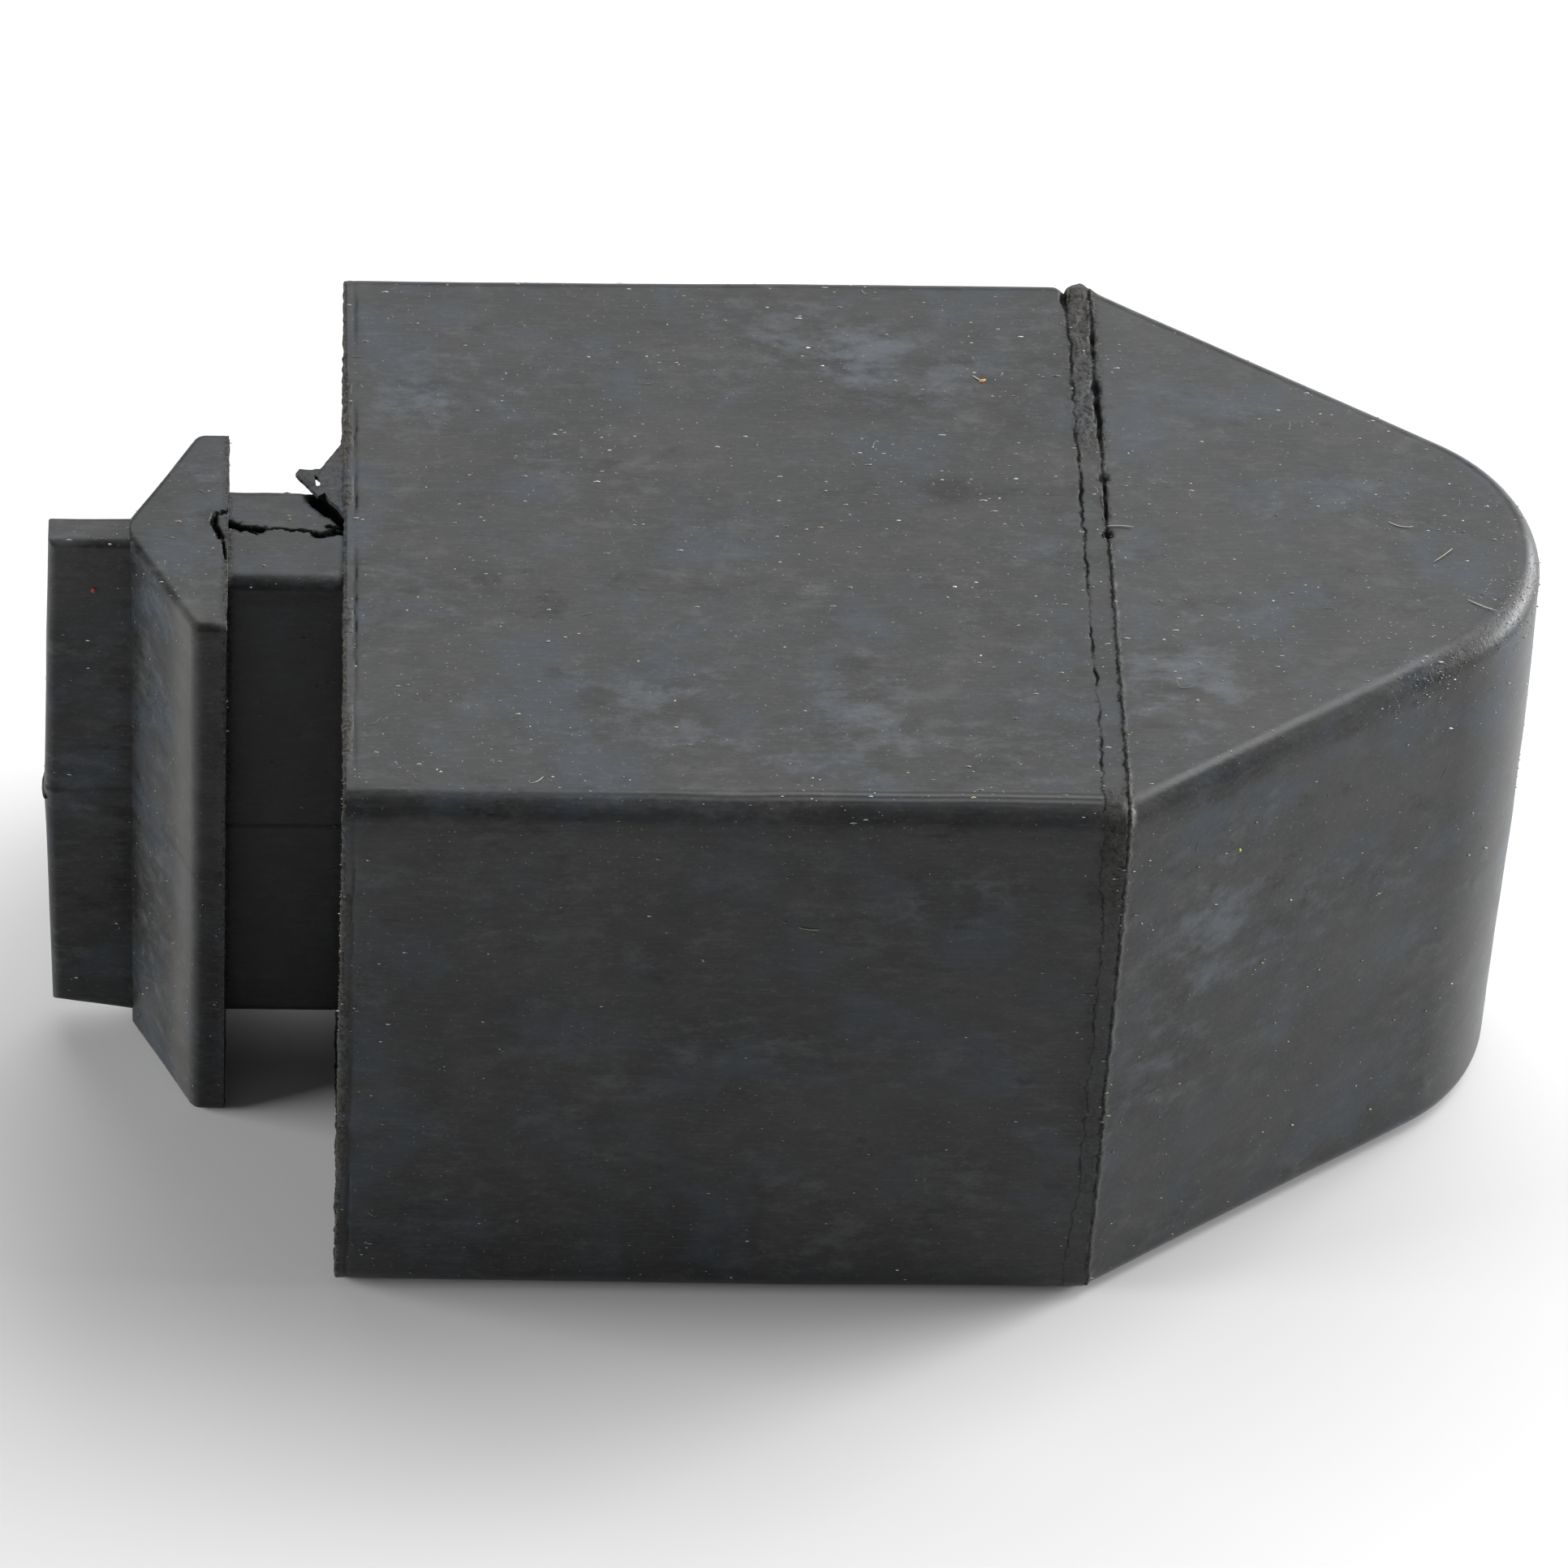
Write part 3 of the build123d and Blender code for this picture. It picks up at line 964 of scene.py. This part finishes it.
def where_dust_lies(centres, normals):
    """Weight of each place: outer faces, mostly upward ones, thickest along the tip's rim.
    Faces that two regions hide between them get none."""
    x, _, z = centres.T
    within = (np.abs(x - BAND_X) < 0.8) + (np.abs(x - SHOULDER_X) < 0.6)
    hidden = within * (np.abs(normals[:, 0]) > 0.9)
    rims = 2 * falloff(x - SEAT_X, 0.9) + falloff(x - SHOULDER_X, 2.0)
    upward = np.clip(normals[:, 2], 0, 1)
    drift = falloff(to_segment(centres, *TIP_DRIFT), 2.2) * falloff(z - HEIGHT, 3.0)
    around_tip = falloff(np.linalg.norm(centres - (TIP_X - 8, -4, HEIGHT), axis=1), 10)
    weight = 0.4 + 0.5 * upward + 1.2 * rims + 1.5 * around_tip + 16.0 * drift
    weight = weight * np.clip(0.9 + 1.3 * smooth_noise(centres, 5.0, 507), 0.15, None)
    return weight * (z > 1) * (hidden == 0)


GRAIN_COUNT = 8000
GRAIN_CORNERS = (1, 0, 0), (-1, 0, 0), (0, 1, 0), (0, -1, 0), (0, 0, 1), (0, 0, -1)
GRAIN_FACES = (
    (0, 2, 4), (2, 1, 4), (1, 3, 4), (3, 0, 4), (2, 0, 5), (1, 2, 5), (3, 1, 5), (0, 3, 5),
)


def make_dust(pieces, material):
    """Grains of dust: small flattened lumps, each a little different, many drawn out along X."""
    rng = np.random.default_rng(501)
    count, corner_count = GRAIN_COUNT, len(GRAIN_CORNERS)
    places, normals = surface_samples(pieces, count, rng, where_dust_lies)
    lump = np.array(GRAIN_CORNERS, float)[None]
    radius = 0.034 + 0.080 * rng.random(count) ** 3
    drawn_out = 1 + 1.8 * rng.random(count) ** 2
    shape = lump * rng.uniform(0.6, 1.5, (count, corner_count, 1)) * radius[:, None, None]
    shape += rng.normal(0, 0.2, (count, corner_count, 3)) * radius[:, None, None]
    shape *= np.stack([drawn_out, 0.9 + 0 * drawn_out, 0.6 + 0 * drawn_out], -1)[:, None, :]
    points = (places + 0.1 * radius[:, None] * normals)[:, None, :] + shape
    faces = [[corner_count * grain + corner for corner in face]
             for grain in range(count) for face in GRAIN_FACES]
    pale = np.repeat(rng.random(count) ** 1.7, corner_count)
    make_mesh("dust_grains", points.reshape(-1, 3), faces, {"pale": pale}, material,
              sharp_degrees=180)


def fibre_line(place, normal, heading, length, curl, lift, steps=9):
    """Points of a fibre that lies on a surface and curls as it goes."""
    side = np.cross(normal, heading)
    share = np.linspace(-0.5, 0.5, steps)
    bend = curl * length * (share**2 - 0.08)
    raised = lift * length * np.clip(share, 0, None) ** 2
    return (place + 0.045 * normal + length * share[:, None] * heading
            + bend[:, None] * side + raised[:, None] * normal)


UP = (0, 0, 1)
NEAR_SIDE = (0, -1, 0)
NEAR_FLANK = (FLANK_X, -FLANK_Y, 0)
FIBRES = (  # place, face it lies on, heading, length, curl
    ((24.6, 1.4, HEIGHT), UP, (1, -0.05, 0), 2.0, -0.25),
    ((49.0, -1.5, HEIGHT), UP, (0.8, 0.75, 0), 2.1, 0.05),
    ((51.5, -7.0, HEIGHT), UP, (1, -0.6, 0), 2.4, 0.1),
    ((46.0, 1.8, HEIGHT), UP, (1, -0.3, 0), 1.9, 0.5),
    ((0.5, -30.1, 40.0), NEAR_SIDE, (1, 0, -0.12), 1.6, 0.3),
    ((14.5, 18.0, HEIGHT), UP, (1, -0.9, 0), 1.0, 0.1),
    ((-20.0, -27.0, HEIGHT), UP, (0.7, 0.5, 0), 1.2, 0.4),
    ((46.0, -15.0, 17.0), NEAR_FLANK, (0.83, 0.55, 0.15), 1.9, 0.6),
    ((43.0, -17.0, 24.0), NEAR_FLANK, (0.6, 0.4, 1.0), 1.6, 0.8),
)


FINE_FIBRE_COUNT = 90
FIBRE_SIDES = 5


def fine_fibres(pieces):
    """Place, face, heading, length, curl and paleness of the many finer fibres."""
    rng = np.random.default_rng(601)
    count = FINE_FIBRE_COUNT
    places, normals = surface_samples(pieces, count, rng, where_dust_lies)
    headings = np.cross(normals, rng.normal(0, 1, (count, 3)))
    lengths, curls = rng.uniform(0.4, 1.3, count), rng.normal(0, 0.7, count)
    return zip(places, normals, headings, lengths, curls, rng.uniform(0.1, 0.5, count))


def fibre_points(line, normal, radius):
    """A tapering tube of points round a fibre's line."""
    along = np.gradient(line, axis=0)
    along /= np.linalg.norm(along, axis=1)[:, None]
    side = np.cross(along, normal)
    side /= np.linalg.norm(side, axis=1)[:, None]
    up = np.cross(side, along)
    taper = radius * (1 - 0.6 * np.linspace(-1, 1, len(line)) ** 4)
    turn = full_turn(FIBRE_SIDES)[None, :, None]
    ring = np.cos(turn) * side[:, None] + np.sin(turn) * up[:, None]
    return (line[:, None] + taper[:, None, None] * ring).reshape(-1, 3)


def make_lint(pieces, material):
    """Short curled fibres: some that catch the eye and many finer ones."""
    fibres = [(*fibre, 0.85, 0.036) for fibre in FIBRES]
    fibres += [(*fibre, 0.017) for fibre in fine_fibres(pieces)]
    points, faces, paleness = [], [], []
    for place, normal, heading, length, curl, pale, radius in fibres:
        normal = np.array(normal, float)
        heading = np.array(heading, float) / np.linalg.norm(heading)
        line = fibre_line(np.array(place), normal, heading, length, curl, 0.12)
        first = sum(len(p) for p in points)
        points.append(fibre_points(line, normal, radius))
        paleness.append(np.full(len(points[-1]), pale))
        faces += closed_tube(len(line), FIBRE_SIDES, first)
    make_mesh("lint_fibres", np.concatenate(points), faces,
              {"pale": np.concatenate(paleness)}, material, sharp_degrees=180)


FLECKS = (  # name, place, face it lies on, half lengths in mm, colour
    ("orange_fleck", (14.9, 17.8, HEIGHT), UP, (0.30, 0.14), (0.42, 0.20, 0.05)),
    ("red_fleck", (TONGUE_END_X + 3.9, tongue_low[1], 47.0), NEAR_SIDE, (0.24, 0.22),
     (0.22, 0.015, 0.020)),
    ("green_fleck", (32.7, -24.6, 43.2), NEAR_FLANK, (0.16, 0.15), (0.26, 0.28, 0.04)),
)


FLECK_LEVELS = (-0.05, 0.9), (0.02, 1.0), (0.08, 0.7), (0.10, 0.25)  # height in mm, and size


def make_flecks():
    """Flecks of paint that have stuck to the rubber: thin crumpled scales."""
    for number, (name, place, normal, halves, colour) in enumerate(FLECKS):
        normal = np.array(normal, float)
        aside = np.cross(normal, (0.31, 0.22, 0.92))
        aside /= np.linalg.norm(aside)
        along = np.cross(aside, normal)
        turn = full_turn(18)[:, None]
        outline = halves[0] * np.cos(turn) * along + halves[1] * np.sin(turn) * aside
        rings = [np.array(place) + level * normal + size * outline
                 for level, size in FLECK_LEVELS]
        points = np.concatenate(rings)
        points += 0.06 * np.stack(
            [ragged_noise(points, 0.22, 700 + 10 * number + i) for i in range(3)], -1
        )
        faces = closed_tube(len(rings), len(turn))
        make_mesh(name, points, faces, {}, fleck_material(name, colour), sharp_degrees=60)


# ---------------------------------------------------------------- materials


class Nodes:
    """Builds a material's nodes with one call each."""

    def __init__(self, name):
        self.material = bpy.data.materials.new(name)
        self.material.use_nodes = True
        self.tree = self.material.node_tree
        self.tree.nodes.clear()
        self.shader = self.tree.nodes.new("ShaderNodeBsdfPrincipled")
        output = self.tree.nodes.new("ShaderNodeOutputMaterial")
        self.link(self.shader.outputs[0], output.inputs[0])
        place = self.tree.nodes.new("ShaderNodeTexCoord")
        self.place = self.vector("MULTIPLY", place.outputs["Object"], (1 / MM,) * 3)

    def link(self, source, socket):
        self.tree.links.new(source, socket)

    def put(self, socket, value):
        if isinstance(value, bpy.types.NodeSocket):
            self.link(value, socket)
        elif isinstance(value, tuple) and len(value) == 3 and socket.type == "RGBA":
            socket.default_value = (*value, 1.0)
        else:
            socket.default_value = value

    def math(self, operation, a, b=0.0, kind="ShaderNodeMath"):
        node = self.tree.nodes.new(kind)
        node.operation = operation
        self.put(node.inputs[0], a)
        self.put(node.inputs[1], b)
        return node.outputs[0]

    def vector(self, operation, a, b):
        return self.math(operation, a, b, "ShaderNodeVectorMath")

    def spread(self, value, low, high, to_low=0.0, to_high=1.0):
        """Maps low..high to to_low..to_high and holds it there."""
        node = self.tree.nodes.new("ShaderNodeMapRange")
        for socket, number in zip(node.inputs[:5], (value, low, high, to_low, to_high)):
            self.put(socket, number)
        return node.outputs[0]

    def mix(self, share, a, b):
        node = self.tree.nodes.new("ShaderNodeMix")
        node.data_type = "RGBA"
        self.put(node.inputs[0], share)
        self.put(node.inputs[6], a)
        self.put(node.inputs[7], b)
        return node.outputs[2]

    def noise(self, size, detail=3.0, roughness=0.55, stretch=None):
        """Noise with features of about size mm; stretch draws it out along X, Y or Z."""
        node = self.tree.nodes.new("ShaderNodeTexNoise")
        place = self.vector("DIVIDE", self.place, stretch) if stretch else self.place
        self.put(node.inputs["Vector"], place)
        self.put(node.inputs["Scale"], 1 / size)
        self.put(node.inputs["Detail"], detail)
        self.put(node.inputs["Roughness"], roughness)
        return node.outputs[0]

    def mark(self, name):
        node = self.tree.nodes.new("ShaderNodeAttribute")
        node.attribute_name = name
        return node.outputs["Fac"]

    def specks(self, spacing, radius, amount):
        """Scattered dots: one to a cell of about spacing mm, in as many cells as amount."""
        node = self.tree.nodes.new("ShaderNodeTexVoronoi")
        self.put(node.inputs["Vector"], self.place)
        self.put(node.inputs["Scale"], 1 / spacing)
        draws = self.tree.nodes.new("ShaderNodeSeparateColor")
        self.put(draws.inputs[0], node.outputs["Color"])
        size = self.math("MULTIPLY", draws.outputs[1], radius / spacing)
        dot = self.spread(self.math("SUBTRACT", size, node.outputs["Distance"]), 0.0, 0.02)
        kept = self.math("LESS_THAN", draws.outputs[0], amount)
        return self.math("MULTIPLY", dot, kept)

    def bump(self, height, depth):
        """Bump of height 0..1, with depth in mm."""
        node = self.tree.nodes.new("ShaderNodeBump")
        self.put(node.inputs["Height"], height)
        self.put(node.inputs["Distance"], depth * MM)
        return node.outputs[0]

    def finish(self, colour, roughness, normal, specular=0.5):
        self.put(self.shader.inputs["Base Color"], colour)
        self.put(self.shader.inputs["Roughness"], roughness)
        self.put(self.shader.inputs["Normal"], normal)
        self.shader.inputs["Specular IOR Level"].default_value = specular
        return self.material


DRAG_SPACING = 0.55  # mm between the ridges of the drag marks


def seam_cracks(n):
    """Thin broken cracks along the two mould lines, from each point's distance to them, which the
    material paints dark as shade.
    """
    ragged = n.spread(n.noise(0.9, 6, 0.85), 0.25, 0.75, -0.36, 0.36)

    def cracks(line, size, low, high):
        off = n.math("ABSOLUTE", n.math("ADD", n.mark(line + "_gap"), ragged))
        gaping = n.spread(n.noise(size, 5, 0.75), low, high, -0.02, 0.20)
        gaping = n.math("MULTIPLY", gaping, n.mark(line + "_open"))
        return n.spread(n.math("SUBTRACT", gaping, off), -0.05, 0.05)

    return n.math("MAXIMUM", cracks("rear", 1.6, 0.44, 0.64), cracks("front", 2.4, 0.38, 0.60))


def drag_waves(n):
    """Ridges and grooves of the drag marks, from -1 to 1."""
    wave = n.math("SINE", n.math("MULTIPLY", n.mark("drag_gap"), 2 * math.pi / DRAG_SPACING))
    beside = n.spread(n.math("ABSOLUTE", n.mark("drag_gap")), 0.25, 0.9, 1.0, 0.0)
    return n.math("MULTIPLY", wave, n.math("MULTIPLY", beside, n.mark("drag")))


def smudges_and_shade(n, unevenness):
    """Share of the dark smudges and painted shade: soft clouds everywhere, and the places marked
    with dark smudges and painted shade.
    """
    smudge_and_shade = n.math("ADD", unevenness, n.math("MULTIPLY", n.mark("soot_and_shade"), 0.30))
    clouds = n.spread(smudge_and_shade, 0.58, 0.74, 0.0, 0.85)
    return n.math("MAXIMUM", clouds, n.math("MULTIPLY", n.mark("soot_and_shade"), 0.65))


def rubber_material(name, dark, grey, tan_share, gloss=0.0, specular=0.24):
    """Carbon-black rubber with bloom, drawn streaks, dust specks and dirt in its seams, with
    painted shade in its cracks, pits, drag grooves and marked places, painted highlights on the
    drag ridges and a pale layer of painted light.
    """
    n = Nodes(name)
    cloud = n.noise(13, 3)
    tint = n.noise(7, 3, 0.6)
    unrest = n.spread(n.noise(8, 3), 0.42, 0.62)
    mottle = n.noise(1.8, 6, 0.72, stretch=(1.8, 1.0, 1.0))
    flecks = n.noise(0.30, 3, 0.7, stretch=(1.6, 1.0, 1.0))
    streak = n.noise(0.25, 2, 0.6, stretch=(9.0, 1.0, 1.0))
    grain = n.noise(0.10, 1)
    islands = n.noise(2.6, 8, 0.72, stretch=(1.8, 1.0, 1.0))
    unevenness = n.noise(3.8, 6, 0.72, stretch=(1.7, 1.0, 1.0))
    crumbs = n.noise(0.34, 4, 0.75)

    light = n.math("MULTIPLY", n.spread(mottle, 0.50, 0.70), n.spread(unrest, 0, 1, 0.20, 0.75))
    deep = n.math("MULTIPLY", n.spread(mottle, 0.48, 0.30), n.spread(unrest, 0, 1, 0.12, 0.50))
    reach = n.spread(n.mark("bloom"), 0.0, 1.0, 0.66, 0.42)
    bloom = n.spread(n.math("SUBTRACT", islands, reach), -0.03, 0.15)
    bare = n.math("MULTIPLY", n.spread(islands, 0.47, 0.38), n.mark("bloom"))
    painted_light_film = n.math("MULTIPLY", n.spread(unevenness, 0.30, 0.62, 0.75, 1.15), n.mark("painted_light_film"))
    pits = n.math("MULTIPLY", n.spread(crumbs, 0.47, 0.36), n.mark("crumbs"))
    dirt = n.math("MULTIPLY", n.spread(crumbs, 0.46, 0.62), n.mark("crumbs"))
    drag = drag_waves(n)
    crack = n.math("MAXIMUM", n.mark("crack"), seam_cracks(n))
    specks = n.specks(0.62, 0.10, n.math("MULTIPLY", n.mark("dust"), 0.9))

    colour = n.mix(n.spread(cloud, 0.34, 0.66), dark, grey)
    for share, coat in (  # each coat lies over the ones before it
        (n.spread(tint, 0.52, 0.66, 0.0, 0.65), (0.027, 0.036, 0.046)),
        (n.spread(tint, 0.46, 0.34, 0.0, 0.35), (0.036, 0.033, 0.030)),
        (light, (0.062, 0.064, 0.066)),
        (deep, (0.005, 0.005, 0.005)),
        (n.math("MULTIPLY", bare, 0.7), (0.006, 0.006, 0.006)),
        (n.math("MULTIPLY", bloom, 0.72), (0.080, 0.091, 0.102)),
        # Dark smudges, and painted shade where it is marked
        (smudges_and_shade(n, unevenness), (0.004, 0.004, 0.0035)),
        # Pale layer: painted light
        (painted_light_film, (0.066, 0.064, 0.059)),
        (n.spread(streak, 0.50, 0.80, 0.0, 0.22), (0.070, 0.070, 0.068)),
        (n.spread(flecks, 0.58, 0.76, 0.0, 0.40), (0.090, 0.090, 0.086)),
        (n.spread(flecks, 0.42, 0.28, 0.0, 0.22), (0.006, 0.006, 0.006)),
        # Near black in the sunken pits: painted shade
        (n.math("MULTIPLY", pits, 0.85), (0.004, 0.004, 0.003)),
        (n.math("MULTIPLY", dirt, tan_share), (0.066, 0.059, 0.046)),
        # Painted highlight on the drag ridges, and painted shade in their grooves
        (n.spread(drag, 0.15, 0.9, 0.0, 0.34), (0.100, 0.100, 0.102)),
        (n.spread(drag, -0.15, -0.9, 0.0, 0.80), (0.004, 0.004, 0.004)),
        # Near black in the cracks, tears and grooves: painted shade; on the flash, dark spots
        (n.math("MULTIPLY", crack, 0.94), (0.003, 0.003, 0.003)),
        (n.math("MULTIPLY", specks, 0.35), (0.20, 0.20, 0.18)),
    ):
        colour = n.mix(share, colour, coat)

    rough = n.spread(cloud, 0.3, 0.7, 0.36 - gloss, 0.45 - gloss)
    rough = n.math("ADD", rough, n.math("MULTIPLY", bloom, 0.14))
    rough = n.math("ADD", rough, n.spread(mottle, 0.3, 0.7, -0.04, 0.05))
    rough = n.math("ADD", rough, n.math("MULTIPLY", n.math("MAXIMUM", crack, dirt), 0.3))

    relief = n.math("MULTIPLY", mottle, 3.0)
    for pattern, height in (
        (streak, 0.5), (grain, 0.8), (flecks, 1.5), (dirt, 3.0), (crack, -14.0), (pits, -6.0),
        (drag, 1.8),
    ):
        relief = n.math("ADD", relief, n.math("MULTIPLY", pattern, height))
    return n.finish(colour, rough, n.bump(relief, 0.006), specular)


def lint_material():
    """Pale dust and fibres, from dark grey through straw to nearly white."""
    n = Nodes("dust_and_lint")
    colour = n.mix(n.spread(n.noise(3.0, 2), 0.50, 0.66), (0.38, 0.38, 0.37), (0.36, 0.32, 0.22))
    colour = n.mix(n.spread(n.mark("pale"), 0.0, 1.0, 0.90, 0.0), colour, (0.08, 0.08, 0.078))
    rough = n.spread(n.noise(0.5, 2), 0.3, 0.7, 0.7, 0.95)
    return n.finish(colour, rough, n.bump(n.noise(0.05, 1), 0.004), specular=0.2)


def fleck_material(name, colour):
    """Dull dusty paint."""
    n = Nodes(name + "_paint")
    dusty = n.mix(n.spread(n.noise(0.12, 3), 0.45, 0.70, 0.0, 0.6), colour, (0.20, 0.19, 0.17))
    rough = n.spread(n.noise(0.2, 2), 0.3, 0.7, 0.6, 0.9)
    return n.finish(dusty, rough, n.bump(n.noise(0.05, 1), 0.006), specular=0.3)


# ---------------------------------------------------------------- stage


CAMERA_AZIMUTH = math.radians(-4.206)
CAMERA_ELEVATION = math.radians(44.054)
CAMERA_ROLL = math.radians(-3.494)
CAMERA_DISTANCE = 755.2 * MM
CAMERA_AIM = Vector((0.16, -0.12, -0.11)) * MM  # from the middle of the object's box
CAMERA_LENS = 223.7  # mm, on a sensor 36 mm wide


def make_camera():
    """A long lens from the front and above, rolled slightly."""
    aim = (cad_low + cad_high) / 2 + CAMERA_AIM
    turn, rise, roll = CAMERA_AZIMUTH, CAMERA_ELEVATION, CAMERA_ROLL
    back = Vector((
        math.sin(turn) * math.cos(rise), -math.cos(turn) * math.cos(rise), math.sin(rise)
    ))
    level = Vector((math.cos(turn), math.sin(turn), 0))
    upright = back.cross(level)
    right = math.cos(roll) * level - math.sin(roll) * upright
    up = math.sin(roll) * level + math.cos(roll) * upright
    data = bpy.data.cameras.new("camera")
    data.lens = CAMERA_LENS
    data.sensor_width = 36
    data.clip_start, data.clip_end = 0.01, 20
    camera = bpy.data.objects.new("camera", data)
    matrix = Matrix((right, up, back)).transposed().to_4x4()
    matrix.translation = aim + back * CAMERA_DISTANCE
    camera.matrix_world = matrix
    bpy.context.scene.collection.objects.link(camera)
    bpy.context.scene.camera = camera


SOFTBOXES = (  # name, direction, distance, width and height in m, and radiance
    ("back_softbox", (0.05, 0.72, 0.78), 0.9, 1.0, 0.7, 3.0),
    ("high_softbox", (0.5, 0.2, 0.84), 0.8, 0.35, 0.35, 11.0),
    ("right_softbox", (1.0, 0.2, 0.2), 0.8, 0.5, 0.26, 26.0),
    ("tip_softbox", (0.85, 0.50, 0.2), 0.8, 0.4, 0.26, 16.0),
    ("left_softbox", (-1.0, -0.05, 0.2), 0.8, 0.5, 0.26, 26.0),
)
UNMIRRORED = ("left_softbox",)  # it only fills, and would glare on the top from low views


def make_softbox(name, direction, distance, width, height, radiance):
    """A soft light of a given radiance, facing the object."""
    data = bpy.data.lights.new(name, "AREA")
    data.shape = "RECTANGLE"
    data.size, data.size_y = width, height
    data.energy = radiance * math.pi * width * height
    light = bpy.data.objects.new(name, data)
    away = Vector(direction).normalized()
    light.location = (cad_low + cad_high) / 2 + away * distance
    light.rotation_mode = "QUATERNION"
    light.rotation_quaternion = away.to_track_quat("Z", "Y")
    light.visible_camera = False
    light.visible_glossy = name not in UNMIRRORED
    bpy.context.scene.collection.objects.link(light)


ROOM_LIGHT = (0.13, 0.13, 0.135, 1)  # what the room's walls add to the light
ROOM_LOOK = (0.93, 0.935, 0.94, 1)  # and how pale they look


def make_world():
    """A dim room whose walls look pale: it adds only a little light of its own."""
    world = bpy.data.worlds.new("studio")
    world.use_nodes = True
    tree = world.node_tree
    path = tree.nodes.new("ShaderNodeLightPath")
    mix = tree.nodes.new("ShaderNodeMix")
    mix.data_type = "RGBA"
    mix.inputs[6].default_value = ROOM_LIGHT
    mix.inputs[7].default_value = ROOM_LOOK
    tree.links.new(path.outputs["Is Camera Ray"], mix.inputs[0])
    tree.links.new(mix.outputs[2], tree.nodes["Background"].inputs[0])
    bpy.context.scene.world = world


FLOOR_RADIUS = 0.72  # m, so that the softboxes light it to its rim
FLOOR_DROP = 0.03 * MM  # a hair below the object
FLOOR_GREY = 0.58


def make_floor():
    """A plain pale round table top under the object."""
    mesh = bpy.data.meshes.new("floor")
    level = cad_low.z - FLOOR_DROP
    turn = full_turn(128)
    rim = [(FLOOR_RADIUS * math.cos(a), FLOOR_RADIUS * math.sin(a), level) for a in turn]
    mesh.from_pydata(rim, [], [tuple(range(len(rim)))])
    floor = bpy.data.objects.new("floor", mesh)
    bpy.context.scene.collection.objects.link(floor)
    paint = bpy.data.materials.new("floor_paint")
    paint.use_nodes = True
    shader = paint.node_tree.nodes["Principled BSDF"]
    shader.inputs["Base Color"].default_value = (*(FLOOR_GREY,) * 3, 1)
    shader.inputs["Roughness"].default_value = 0.9
    shader.inputs["Specular IOR Level"].default_value = 0.0
    mesh.materials.append(paint)


bpy.context.scene.view_settings.view_transform = "Standard"
make_camera()
make_world()
make_floor()
for softbox in SOFTBOXES:
    make_softbox(*softbox)

rubber = rubber_material("moulded_rubber", (0.015, 0.016, 0.0165), (0.028, 0.029, 0.030), 0.6)
nose = rubber_material("nose_rubber_skin", (0.016, 0.017, 0.0175), (0.030, 0.031, 0.032), 0.6,
                       gloss=0.07, specular=0.25)
flash = rubber_material("torn_flash", (0.014, 0.014, 0.0135), (0.028, 0.027, 0.025), 0.95)
lint = lint_material()
skins = [make_block(rubber), make_band(rubber), make_nose(nose)]
skins += [make_neck(rubber), make_barb(rubber), make_tongue(rubber)]
make_seat_flash(flash)
make_shoulder_flash(flash)
make_barb_flash(flash)
make_corner_web(flash)
make_tongue_tick(flash)
make_dust(skins, lint)
make_lint(skins, lint)
make_flecks()
